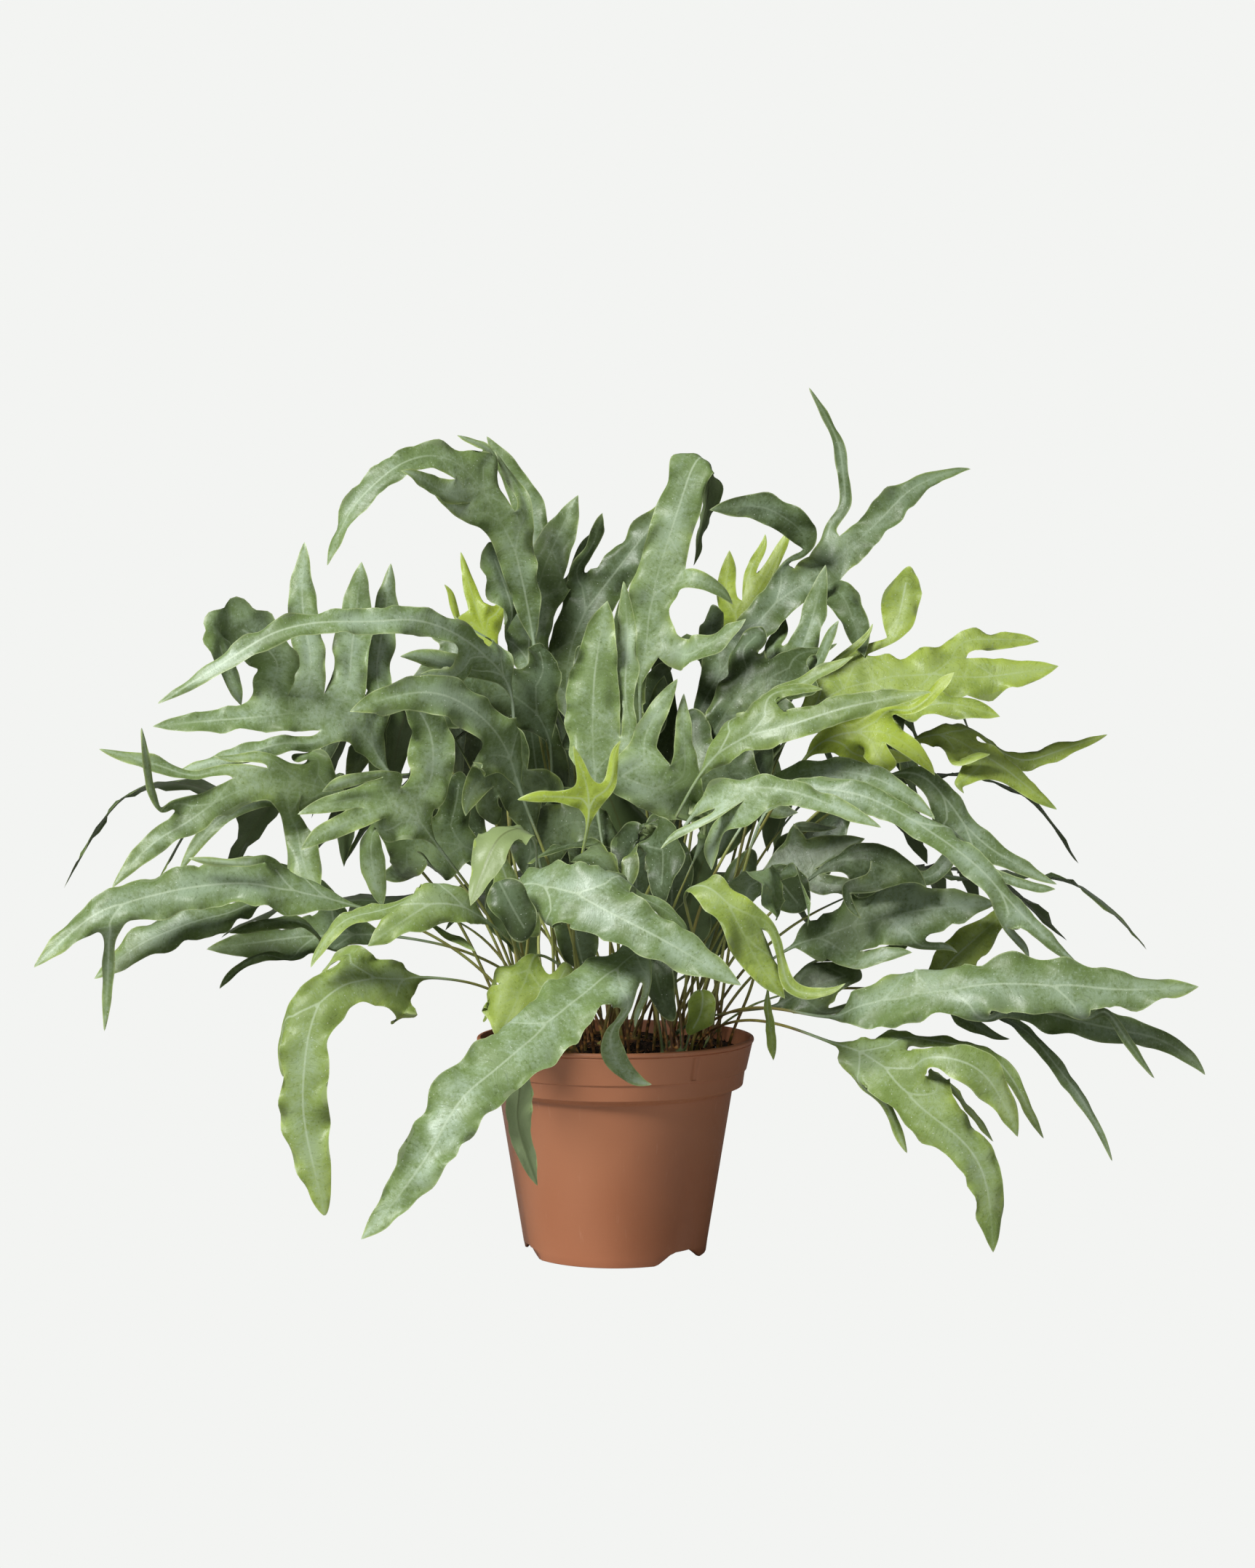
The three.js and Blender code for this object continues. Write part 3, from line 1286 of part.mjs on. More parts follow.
// The height of the soil at a place, with its uneven surface
function soilHeight(x, y) {
  const radius = Math.hypot(x, y);
  const dome = SOIL.middle + (SOIL.edge - SOIL.middle) * (radius / SOIL.radius) ** 2;
  return dome + SOIL.swell * Math.sin(x / 13 + 0.6) * Math.cos(y / 11 - 0.4);
}

function makeSoil(cutters) {
  const { gap, edge, radius, rings } = SOIL;
  const bottom = POT.floorUnder + POT.floorThickness + gap / 2;
  const outline = [
    [0, bottom],
    [POT.footRadius - POT.wall - gap, bottom],
    ...INNER_WALL.toReversed().map(([wallRadius, height]) => [wallRadius - gap, height + gap / 2]),
    [radius - gap, edge],
    ...rings.map((ring) => [ring, edge]),
  ];
  const geometry = turned(outline);
  const position = geometry.getAttribute("position");
  for (let n = 0; n < position.count; n++) {
    if (position.getZ(n) > edge - 1) {
      position.setZ(n, soilHeight(position.getX(n), position.getY(n)));
    }
  }
  return cutters.reduce((soil, cutter) => soil.subtract(cutter), solidOfGeometry(geometry));
}

// The plain hole that a stipe stands in
function stipeHole(spine) {
  const [bottom, top] = spine.sections;
  const radius = STIPE.radius + STIPE.holeGap;
  const low = bottom.point.clone().addScaledVector(UP, -STIPE.holeDeeper);
  const high = top.point.clone().addScaledVector(UP, STIPE.sunk);
  const ends = [low, high].map((point) => section(point, UP, top.normal, radius, radius).corners);
  const corners = ends.flat();
  const faces = [1, 0, 3, 1, 3, 2, 4, 5, 7, 5, 6, 7];
  for (const side of SIDES) {
    for (const [end, corner] of side) faces.push(end * 4 + corner);
  }
  return solidOf({ corners, faces });
}

// A rhizome: a knobbly creeping stem along a line, closed at both ends
function rhizomeSkin(line, radius, seed) {
  const next = draws(seed);
  const stations = evenly(line, RHIZOME.steps);
  const along = directions(stations);
  const corners = [];
  const faces = [];
  const { sides } = RHIZOME;
  stations.forEach((point, k) => {
    const normal = across(UP, along[k]);
    const side = along[k].clone().cross(normal);
    const isEnd = k === 0 || k === stations.length - 1;
    const mean = radius + (isEnd ? RHIZOME.endRadius - RHIZOME.radius : 0);
    for (let n = 0; n < sides; n++) {
      const turn = (2 * Math.PI * n) / sides;
      const reach = mean * (1 + RHIZOME.knob * (2 * next() - 1));
      const corner = point.clone().addScaledVector(normal, reach * Math.cos(turn));
      corners.push(corner.addScaledVector(side, reach * Math.sin(turn)));
    }
  });
  const last = (stations.length - 1) * sides;
  for (let n = 0; n < sides; n++) {
    const m = (n + 1) % sides;
    for (let k = 0; k < last; k += sides) {
      faces.push(k + n, k + m, k + sides + n, k + m, k + sides + m, k + sides + n);
    }
    if (n > 0 && n < sides - 1) {
      faces.push(0, n + 1, n);
      faces.push(last, last + n, last + n + 1);
    }
  }
  return { corners, faces };
}

function rhizomeLine(ends, rise) {
  const [from, to] = ends.map(([x, y]) => new Vector3(x, y, soilHeight(x, y) - RHIZOME.sunk));
  const middle = from.clone().lerp(to, 0.5);
  middle.z += rise;
  return smooth([from, middle, to]);
}

function facesOf({ corners, faces }) {
  const list = [];
  for (let n = 0; n < faces.length; n += 3) list.push([corners[faces[n]], corners[faces[n + 1]], corners[faces[n + 2]]]);
  return list;
}

// The feet of a clump's stipes, set out in a spiral
const clumpCounts = {};
function nextFoot(clump) {
  const n = (clumpCounts[clump] = (clumpCounts[clump] ?? 0) + 1);
  const reach = CLUMP_SPACING * Math.sqrt(n - 0.7);
  const [x, y] = CLUMPS[clump];
  const foot = new Vector3(x + reach * Math.cos(n * GOLDEN_ANGLE), y + reach * Math.sin(n * GOLDEN_ANGLE), 0);
  foot.z = soilHeight(foot.x, foot.y);
  return foot;
}

// A place on a rhizome's line, by its share of the length between the ends
function footOn(line, share) {
  return evenly(line, 40)[Math.round(4 + 32 * share)];
}

// The fronds of a spray in the middle, their feet in turn along its rhizome
function innerFronds(line, blades) {
  return blades.map((blade, k) => ({
    foot: footOn(line, (k + 0.5) / blades.length),
    sunk: SPRAY.sunk,
    face: new Vector3(...FACE),
    blade,
    lobes: [],
    place: seen,
    bladeStep: SPRAY.bladeStep,
  }));
}

// The fronds of a spray at the back: by rule round its compass angles, in tiers of different reach and rise
function sprayFronds(line, spray, seed) {
  const next = draws(seed);
  const jitter = (size) => size * (2 * next() - 1);
  const fronds = [];
  for (let n = 0; n < spray.count; n++) {
    const share = (n + 0.5) / spray.count;
    const tier = TIERS[n % TIERS.length];
    const angle = radians(spray.from + (spray.to - spray.from) * share + jitter(SPRAY.angleDraw));
    const reach = tier.reach + jitter(SPRAY.reachDraw);
    const rise = tier.rise + jitter(SPRAY.riseDraw);
    const foot = footOn(line, share);
    const at = (out, height, turn = 0) => [
      foot.x + reach * out * Math.cos(angle + turn),
      foot.y + reach * out * Math.sin(angle + turn),
      foot.z + rise * height,
    ];
    const droop = SPRAY.droop + SPRAY.droopDraw * next();
    const lobes = [];
    for (let k = 0; k < SPRAY.fewestLobes + (n % 2); k++) {
      const out = 0.5 + 0.11 * k;
      const turn = (k % 2 ? 1 : -1) * (0.3 + 0.12 * next());
      const width = SPRAY.lobeWidth + jitter(2);
      lobes.push([width, at(out, 1), at(out + 0.1, 1.02, turn), at(out + 0.22, 0.95, turn * 1.25),
        at(out + 0.34, 0.85 - droop * 0.5, turn * 1.4)]);
    }
    fronds.push({
      foot,
      sunk: SPRAY.sunk,
      face: new Vector3(Math.cos(angle) * 0.3, Math.sin(angle) * 0.3, 1),
      blade: [SPRAY.width + jitter(3), at(0.42, 0.9), at(0.58, 1.02), at(0.76, 1), at(0.9, 1 - droop * 0.5),
        at(1, 1 - droop)],
      lobes,
      place: lifted,
      flatRoots: true,
      bladeStep: SPRAY.bladeStep,
      lobeStep: SPRAY.lobeStep,
    });
  }
  return fronds;
}

// Finishes
const COLOURS = {
  pot: new THREE.MeshStandardMaterial({ color: 0xc08a68, roughness: 0.42, metalness: 0 }),
  soil: new THREE.MeshStandardMaterial({ color: 0x1d1712, roughness: 0.95, metalness: 0 }),
  frond: new THREE.MeshStandardMaterial({ color: 0x7d9c86, roughness: 0.55, metalness: 0 }),
};

const plant = new THREE.Group();

function addNode(name, solid, material) {
  const mesh = new THREE.Mesh(geometryOf(solid), material);
  mesh.name = name;
  plant.add(mesh);
}

const cutters = [];

const sprayBodies = Object.entries({ ...INNER_SPRAYS, ...SPRAYS }).map(([name, spray], n) => {
  const line = rhizomeLine(spray.rhizome, spray.rise ?? 0);
  const body = rhizomeSkin(line, RHIZOME.radius, 9100 + n);
  placed.push({ frond: name, thin: boxed(facesOf(body)) });
  cutters.push(solidOf(rhizomeSkin(line, RHIZOME.radius + RHIZOME.gap, 9100 + n)));
  const fronds = spray.blades ? innerFronds(line, spray.blades) : sprayFronds(line, spray, 9200 + n);
  return { name, body, fronds };
});

Object.entries(FRONDS).forEach(([name, frond], n) => {
  const whole = {
    face: new Vector3(...(frond.face ?? FACE)),
    foot: nextFoot(frond.clump),
    sunk: STIPE.sunk,
    place: seen,
    blade: frond.blade,
    lobes: frond.lobes,
  };
  const spine = growFrond(name, whole, n + 1);
  addNode("frond_" + name, solidOf(skin(spine)), COLOURS.frond);
  cutters.push(stipeHole(spine));
});

sprayBodies.forEach(({ name, body, fronds }, n) => {
  let solid = solidOf(body);
  fronds.forEach((frond, k) => {
    const spine = growFrond(name, frond, (n + 1) * SPRAY.seeds + k);
    if (spine) solid = solid.add(solidOf(skin(spine)));
  });
  addNode(name, solid, COLOURS.frond);
});

addNode("pot", makePot(), COLOURS.pot);
addNode("soil", makeSoil(cutters), COLOURS.soil);

export default plant;
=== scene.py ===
import heapq
import math
import random

import bmesh
import bpy
import numpy as np
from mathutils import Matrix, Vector
from mathutils.kdtree import KDTree


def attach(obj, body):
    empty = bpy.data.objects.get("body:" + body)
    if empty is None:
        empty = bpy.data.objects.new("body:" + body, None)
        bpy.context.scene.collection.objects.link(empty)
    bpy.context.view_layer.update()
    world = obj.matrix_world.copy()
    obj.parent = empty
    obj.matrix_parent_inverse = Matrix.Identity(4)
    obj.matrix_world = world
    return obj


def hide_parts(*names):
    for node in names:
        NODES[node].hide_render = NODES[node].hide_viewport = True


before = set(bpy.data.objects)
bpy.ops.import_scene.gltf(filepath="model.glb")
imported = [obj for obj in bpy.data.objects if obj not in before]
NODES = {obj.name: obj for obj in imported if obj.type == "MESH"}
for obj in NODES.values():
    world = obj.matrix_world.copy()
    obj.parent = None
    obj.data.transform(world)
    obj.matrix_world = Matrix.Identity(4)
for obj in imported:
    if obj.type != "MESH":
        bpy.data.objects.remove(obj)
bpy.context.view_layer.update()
SCENE = bpy.context.scene
MM = 0.001

# The photograph's view
EYE = (0.0074, -1.5, 0.32)
VIEW = {"width": 0.771, "distance": 1.5, "centre_up": 0.2856, "pixels": (1725, 2156), "sensor": 36, "far": 50}

# The pale ground as the camera sees it, and what the ground and the air around give back as light
PALE = (0.896, 0.905, 0.888)
GROUND = {"half_size": 6.0, "colour": (0.5, 0.5, 0.49)}
AROUND = 0.08

# The lamps: place, width and power. All aim at the middle of the plant.
LAMP_AIM = (0, 0, 0.25)
LAMPS = {
    "key": ((-1.3, -1.5, 1.9), 0.9, 80),
    "fill": ((1.8, -1.4, 0.9), 1.4, 8),
}

# How fine the fronds' skins are made: halvings of every edge
FRONDS_HALVED = 3
SPRAYS_HALVED = 2

# Forms of a blade, in metres, but for the notch, which is a share of the half width
BLADE = {
    "weld": 2e-5,
    "pair": 0.0037,
    "half_thickness": 0.00032,
    "gull": 0.0006,
    "ruffle": 0.0024,
    "ruffle_length": 0.022,
    "frill": 0.0009,
    "frill_length": 0.0095,
    "notch": 0.075,
    "notch_length": 0.019,
    "rib": 0.0003,
    "rib_width": 0.0011,
    "stipe": 0.00022,
}

# Limits on the cosine between the ways of two faces, or of two edges at a corner. It is below SHARP over a
# sharp edge, and below OPPOSITE across a thin blade. Without its sign it is above TOGETHER between two faces
# of one frond, and between two edges it is above TURNS_BACK at a tip.
SHARP = -0.3
OPPOSITE = -0.5
TOGETHER = 0.4
TURNS_BACK = 0.25

# A place in the middle of the pot, near which the fronds have their feet
POT_MIDDLE = (0, 0, 0.1)

# The pot's sizes in millimetres. The collar's lower and upper edge are each a radius and a height, and the
# angles of the foot notches and collar grooves are in degrees from the front towards +X.
POT = {
    "foot": 55.5,
    "wall": 1.6,
    "height": 131,
    "rim": 85,
    "pad": 14,
    "floor_under": 7.5,
    "floor": 9.5,
    "collar": ((80.4, 111.5), (84.1, 127.6)),
    "groove": (112.5, 127),
    "groove_half": 1.75,
    "groove_depth": 0.6,
    "groove_angles": (35, 155, -85),
    "notch_height": 7,
    "notch_half": 19.4,
    "notch_slant": 12.3,
    "notch_angles": (46, 166, -74),
    "corner": 0.5,
    "sides": 144,
}

# The soil's sizes in millimetres, and what lies on it
SOIL = {
    "radius": 81,
    "reach": 80.4,
    "edge": 121.5,
    "middle": 126,
    "swell": 1.3,
    "rings": 40,
    "ring_step": 2.0,
    "sides": 120,
    "lumps": 0.7,
    "lump_length": 7.0,
    "crumbling": 0.35,
    "crumbling_length": 2.6,
    "strewn": 77,
    "crumbs": 1500,
    "perlite_every": 28,
    "fibres": 170,
}
PEAT, FIBRE, PERLITE = 0.0, 0.5, 1.0

# The way that the upper sides of the fronds look
FACE = (0, -0.85, 0.5)
FACES = {
    "frond_pale_hanging": (-0.5, -0.85, 0.1),
    "frond_arch_top_left": (-0.15, -0.6, 0.8),
}
SPRAY_FACE = (0, 0, 1)
INNER_SPRAYS = ("spray_front_left", "spray_front_right", "spray_centre")

# Fronds whose tips are round
ROUND_TIPS = ("frond_left_hanging", "frond_front_small", "frond_pot_front", "frond_soil_young")

# The looks of each frond: how blue with wax, how young and yellow, and how light. OLD is for all others. The
# yellow is partly painted backlight glow. The lightness is partly the frond's own tone and partly painted
# light and shade, darker on fronds deep in the plant.
OLD = (0.65, 0.05, 0.32)
SPRAY_LOOKS = (0.55, 0.1, 0.28)
LOOKS = {
    "toothed_back": (0.05, 1.0, 0.9),
    "young_centre": (0.1, 0.9, 1.0),
    "right_green": (0.1, 0.85, 0.7),
    "soil_young": (0.2, 0.6, 0.6),
    "back_fan": (0.15, 0.75, 0.7),
    "right_underside": (0.3, 0.55, 0.8),
    "right_arch": (0.3, 0.6, 0.7),
    "right_yellow_top": (0.35, 0.6, 0.7),
    "bright_front": (0.35, 0.5, 0.65),
    "left_hanging": (0.6, 0.45, 0.72),
    "pot_front": (0.3, 0.5, 0.55),
    "left_yellow": (0.5, 0.35, 0.72),
    "pale_hanging": (0.5, 0.35, 0.85),
    "lower_right": (0.5, 0.35, 0.8),
    "pale_strap": (0.8, 0.15, 0.8),
    "pale_wavy": (0.9, 0.1, 0.85),
    "pale_mid": (0.8, 0.1, 0.8),
    "cross_ribbon": (0.85, 0.08, 0.72),
    "right_arc_one": (0.9, 0.03, 0.8),
    "right_arc_two": (0.9, 0.03, 0.75),
    "right_arc_three": (0.85, 0.05, 0.65),
    "grey_lobed": (0.9, 0.0, 0.65),
    "upright_grey": (0.9, 0.05, 0.65),
    "front_diagonal": (0.9, 0.05, 0.75),
    "right_big": (0.8, 0.1, 0.65),
    "right_blue": (0.9, 0.03, 0.68),
    "left_hand": (0.85, 0.06, 0.78),
    "front_left": (0.8, 0.15, 0.72),
    "front_long": (0.9, 0.15, 0.9),
    "left_long": (0.75, 0.16, 0.62),
    "left_big": (0.75, 0.16, 0.66),
    "wavy_light": (0.5, 0.3, 0.7),
    "tall_strap": (0.75, 0.12, 0.75),
    "dark_centre": (0.6, 0.08, 0.42),
    "arch_top_left": (0.75, 0.1, 0.62),
    "long_arch_left": (0.75, 0.1, 0.55),
    "left_low": (0.65, 0.12, 0.5),
    "strap_top": (0.75, 0.08, 0.65),
    "long_diagonal": (0.75, 0.02, 0.45),
    "right_mid_dark": (0.7, 0.05, 0.3),
    "right_arc_low": (0.7, 0.05, 0.4),
    "right_inner": (0.6, 0.1, 0.3),
}


# Meshes in numbers


def welded(node):
    """The corners and triangles of a node, with shared corners made one."""
    bm = bmesh.new()
    bm.from_mesh(node.data)
    bmesh.ops.remove_doubles(bm, verts=bm.verts, dist=BLADE["weld"])
    bmesh.ops.triangulate(bm, faces=bm.faces)
    bm.verts.index_update()
    points = np.array([vert.co for vert in bm.verts], float)
    faces = np.array([[vert.index for vert in face.verts] for face in bm.faces], int)
    bm.free()
    return points, faces


class Edges:
    """Each edge of a closed mesh once: its ends, the corners opposite it, and the faces beside it."""

    def __init__(self, faces, count):
        ends = np.concatenate([faces[:, [0, 1]], faces[:, [1, 2]], faces[:, [2, 0]]])
        far = np.concatenate([faces[:, 2], faces[:, 0], faces[:, 1]])
        own = np.tile(np.arange(len(faces)), 3)
        keys = ends.min(1) * count + ends.max(1)
        self.keys, first, inverse, uses = np.unique(
            keys, return_index=True, return_inverse=True, return_counts=True
        )
        order = np.argsort(keys, kind="stable")
        start = np.cumsum(uses) - uses
        one, two = order[start], order[start + uses - 1]
        self.ends = np.stack([self.keys // count, self.keys % count], 1)
        self.far = np.stack([far[one], far[two]], 1)
        self.faces = np.stack([own[one], own[two]], 1)
        self.of_face = inverse.reshape(3, len(faces)).T


def face_normals(points, faces):
    """The way out and the area of each triangle."""
    a, b, c = (points[faces[:, k]] for k in range(3))
    normals = np.cross(b - a, c - a)
    sizes = np.linalg.norm(normals, axis=1)
    return normals / np.maximum(sizes, 1e-15)[:, None], sizes / 2


def halved(points, faces, marked, fields):
    """One step of Loop subdivision. Marked edges stay marked, and the creases among them stay sharp.
    Corners whose field "point" is 1 stay where they are. Fields go along linearly."""
    count = len(points)
    edges = Edges(faces, count)
    found = {name: np.isin(edges.keys, ends[:, 0] * count + ends[:, 1]) for name, ends in marked.items()}
    sharp = found["crease"]
    a, b = points[edges.ends[:, 0]], points[edges.ends[:, 1]]
    c, d = points[edges.far[:, 0]], points[edges.far[:, 1]]
    middles = np.where(sharp[:, None], (a + b) / 2, 0.375 * (a + b) + 0.125 * (c + d))

    valence = np.zeros(count)
    around = np.zeros_like(points)
    creases = np.zeros(count)
    along = np.zeros_like(points)
    for near, far in ((0, 1), (1, 0)):
        np.add.at(valence, edges.ends[:, near], 1)
        np.add.at(around, edges.ends[:, near], points[edges.ends[:, far]])
        np.add.at(creases, edges.ends[sharp, near], 1)
        np.add.at(along, edges.ends[sharp, near], points[edges.ends[sharp, far]])
    share = (0.625 - (0.375 + 0.25 * np.cos(2 * np.pi / np.maximum(valence, 3))) ** 2)
    share = (share / np.maximum(valence, 1))[:, None]
    moved = (1 - valence[:, None] * share) * points + share * around
    moved = np.where((creases == 2)[:, None], 0.75 * points + 0.125 * along, moved)
    moved = np.where(((creases > 2) | (fields["point"] == 1))[:, None], points, moved)

    ab, bc, ca = (edges.of_face[:, k] + count for k in range(3))
    a, b, c = (faces[:, k] for k in range(3))
    finer = np.concatenate(
        [np.stack(t, 1) for t in ((a, ab, ca), (ab, b, bc), (ca, bc, c), (ab, bc, ca))]
    )
    finer_marked = {}
    for name, here in found.items():
        number = np.flatnonzero(here) + count
        ends = edges.ends[here]
        pairs = np.concatenate([np.stack([ends[:, 0], number], 1), np.stack([ends[:, 1], number], 1)])
        finer_marked[name] = np.sort(pairs, axis=1)
    spread = {
        name: np.concatenate([field, (field[edges.ends[:, 0]] + field[edges.ends[:, 1]]) / 2])
        for name, field in fields.items()
    }
    return np.concatenate([moved, middles]), finer, finer_marked, spread


class Waves:
    """A smooth uneven field in space, with about one wave in each length. It has a seed of its own."""

    def __init__(self, seed, length, count=14):
        draw = random.Random(seed)
        self.ways = []
        for _ in range(count):
            way = Vector((draw.gauss(0, 1), draw.gauss(0, 1), draw.gauss(0, 1))).normalized()
            size = 2 * math.pi / (length * draw.uniform(0.75, 1.45))
            self.ways.append((np.array(way) * size, draw.uniform(0, 2 * math.pi)))

    def __call__(self, points):
        total = sum(np.sin(points @ way + phase) for way, phase in self.ways)
        return total / math.sqrt(len(self.ways) / 2)


# The parts of a frond, found in its solid


def sheets_of(edges, normals, face_count):
    """Says of each face which of the blade's two sheets it is on, 1 or -1, and which frond it belongs to.
    Two faces that look the same way are on one sheet, and two that look opposite ways on two."""
    dots = (normals[edges.faces[:, 0]] * normals[edges.faces[:, 1]]).sum(1)
    parent = list(range(face_count))
    sign = [1] * face_count
    strong = list(range(face_count))

    def root(face):
        way = 1
        while parent[face] != face:
            way *= sign[face]
            face = parent[face]
        return face, way

    def plain_root(face):
        while strong[face] != face:
            face = strong[face]
        return face

    for n in np.argsort(-np.abs(dots)):
        one, two = edges.faces[n]
        (a, way_a), (b, way_b) = root(one), root(two)
        relation = 1 if dots[n] > 0 else -1
        if a != b:
            parent[b] = a
            sign[b] = way_a * way_b * relation
            if abs(dots[n]) > TOGETHER:
                strong[plain_root(two)] = plain_root(one)
    sheets = np.array([root(face)[1] for face in range(face_count)], float)
    groups = np.array([plain_root(face) for face in range(face_count)])
    return sheets, groups, dots


def walk(points, ends, starts, allowed):
    """How far each corner is from the starts, along the edges between allowed corners."""
    near = [[] for _ in points]
    for a, b in ends:
        if allowed[a] and allowed[b]:
            step = float(np.linalg.norm(points[a] - points[b]))
            near[a].append((b, step))
            near[b].append((a, step))
    far = np.full(len(points), np.inf)
    heap = []
    for start in starts:
        far[start] = 0
        heap.append((0.0, int(start)))
    heapq.heapify(heap)
    while heap:
        done, at = heapq.heappop(heap)
        if done > far[at]:
            continue
        for to, step in near[at]:
            if done + step < far[to]:
                far[to] = done + step
                heapq.heappush(heap, (done + step, to))
    return far


def thinned(points, normals_at, blade):
    """The blade's upper and lower corners moved together, to a leaf's thickness."""
    moved = points.copy()
    index = np.flatnonzero(blade)
    if not len(index):
        return moved
    gaps = np.linalg.norm(points[index, None] - points[None, index], axis=2)
    facing = (normals_at[index, None] * normals_at[None, index]).sum(2)
    gaps = np.where((facing < OPPOSITE) & (gaps > 1e-6), gaps, np.inf)
    partner = gaps.argmin(1)
    for k, i in enumerate(index):
        if gaps[k, partner[k]] < BLADE["pair"]:
            other = points[index[partner[k]]]
            across = (points[i] - other) / gaps[k, partner[k]]
            moved[i] = (points[i] + other) / 2 + across * BLADE["half_thickness"]
    return moved


def frond_parts(points, faces, face_way, pointed):
    """A frond's solid thinned, with its creases and ribs, its sheets and its fields."""
    count = len(points)
    edges = Edges(faces, count)
    normals, areas = face_normals(points, faces)
    sheets, groups, dots = sheets_of(edges, normals, len(faces))
    sharp = dots < SHARP
    crease = edges.ends[sharp]

    # each frond's upper side is the one that looks the way its face does
    towards = normals @ np.array(face_way, float)
    for group in np.unique(groups):
        members = groups == group
        if (sheets[members] * areas[members] * towards[members]).sum() < 0:
            sheets[members] *= -1

    edge_corner = np.zeros(count, bool)
    edge_corner[crease.ravel()] = True
    beside = np.zeros(count)
    for near, far in ((0, 1), (1, 0)):
        np.add.at(beside, edges.ends[:, near], edge_corner[edges.ends[:, far]])
    stipe = (~edge_corner) & (beside <= 1)
    blade = (~edge_corner) & (beside > 1)

    flat = thinned(points, corner_normals(points, faces), blade)

    # the foot is the part of the stalks nearest to the pot's middle
    foot = np.where(stipe, np.linalg.norm(points - np.array(POT_MIDDLE), axis=1), np.inf).argmin()
    inner = ~edge_corner
    along = walk(points, edges.ends, [foot], inner)
    along[~np.isfinite(along)] = 0

    along_edge = np.zeros(count)
    found = np.zeros(count)
    for near, far in ((0, 1), (1, 0)):
        beside_rib = edge_corner[edges.ends[:, near]] & inner[edges.ends[:, far]]
        np.add.at(along_edge, edges.ends[beside_rib, near], along[edges.ends[beside_rib, far]])
        np.add.at(found, edges.ends[beside_rib, near], 1)
    along = np.where(edge_corner, along_edge / np.maximum(found, 1), along)

    # a tip is where the edge turns back sharply
    tips = []
    ways = {}
    for a, b in crease:
        ways.setdefault(a, []).append(points[b] - points[a])
        ways.setdefault(b, []).append(points[a] - points[b])
    for corner, found_ways in ways.items():
        if len(found_ways) == 2:
            one, two = (way / np.linalg.norm(way) for way in found_ways)
            if one @ two > TURNS_BACK:
                tips.append(corner)
    tip = walk(points, edges.ends, tips, np.ones(count, bool)) if tips else np.full(count, 1.0)
    tip[~np.isfinite(tip)] = 1.0

    point = np.zeros(count)
    if pointed:
        point[tips] = 1
    fields = {"along": along, "tip": tip, "stipe": stipe.astype(float), "point": point}
    marked = {"crease": crease, "rib": rib_edges(faces, edges, flat, along, stipe, blade, tips)}
    return flat, marked, sheets, fields


def rib_edges(faces, edges, points, along, stipe, blade, tips):
    """The edges that a frond's ribs run along: where a lobe leaves, it takes the edge from below."""
    kept = {}
    for a, b in edges.ends:
        if blade[a] and blade[b]:
            kept[(a, b)] = True
    for corners in faces:
        if blade[corners].all():
            a, b = sorted(corners[np.argsort(along[corners])][1:])
            kept.pop((a, b), None)
    ends = list(kept)
    shortest = {}
    is_tip = np.zeros(len(points), bool)
    is_tip[tips] = True
    for a, b in edges.ends:
        for one, other in ((a, b), (b, a)):
            if blade[one] and stipe[other]:
                gap = np.linalg.norm(points[one] - points[other])
                if one not in shortest or gap < shortest[one][0]:
                    shortest[one] = (gap, (a, b))
            if blade[one] and is_tip[other]:
                ends.append((a, b))
    ends += [pair for _, pair in shortest.values()]
    return np.array(ends, int).reshape(-1, 2)


def corner_normals(points, faces, sheets=1.0):
    """The way out at each corner. With the sheets given, it is the way that the upper side looks, the same
    on both sheets and at the edge."""
    normals, areas = face_normals(points, faces)
    at = np.zeros_like(points)
    for k in range(3):
        np.add.at(at, faces[:, k], normals * (areas * sheets)[:, None])
    return at / np.maximum(np.linalg.norm(at, axis=1), 1e-15)[:, None]


def soft_step(low, high, values):
    """From 0 at low to 1 at high, with a smooth start and end."""
    t = np.clip((values - low) / (high - low), 0, 1)
    return t * t * (3 - 2 * t)


def line_tree(points, ends, count=6):
    """Places close together along the marked edges, for finding the nearest."""
    shares = (np.arange(count) + 0.5) / count
    a, b = points[ends[:, 0]], points[ends[:, 1]]
    places = (a[None] + (b - a)[None] * shares[:, None, None]).reshape(-1, 3)
    places = np.concatenate([places, a, b])
    tree = KDTree(len(places))
    for k, place in enumerate(places.tolist()):
        tree.insert(place, k)
    tree.balance()
    return tree


def nearest(points, tree):
    """The nearest place in the tree to each point, and how far off it is."""
    found = [tree.find(place) for place in points.tolist()]
    return np.array([near for near, _, _ in found]), np.array([gap for _, _, gap in found])


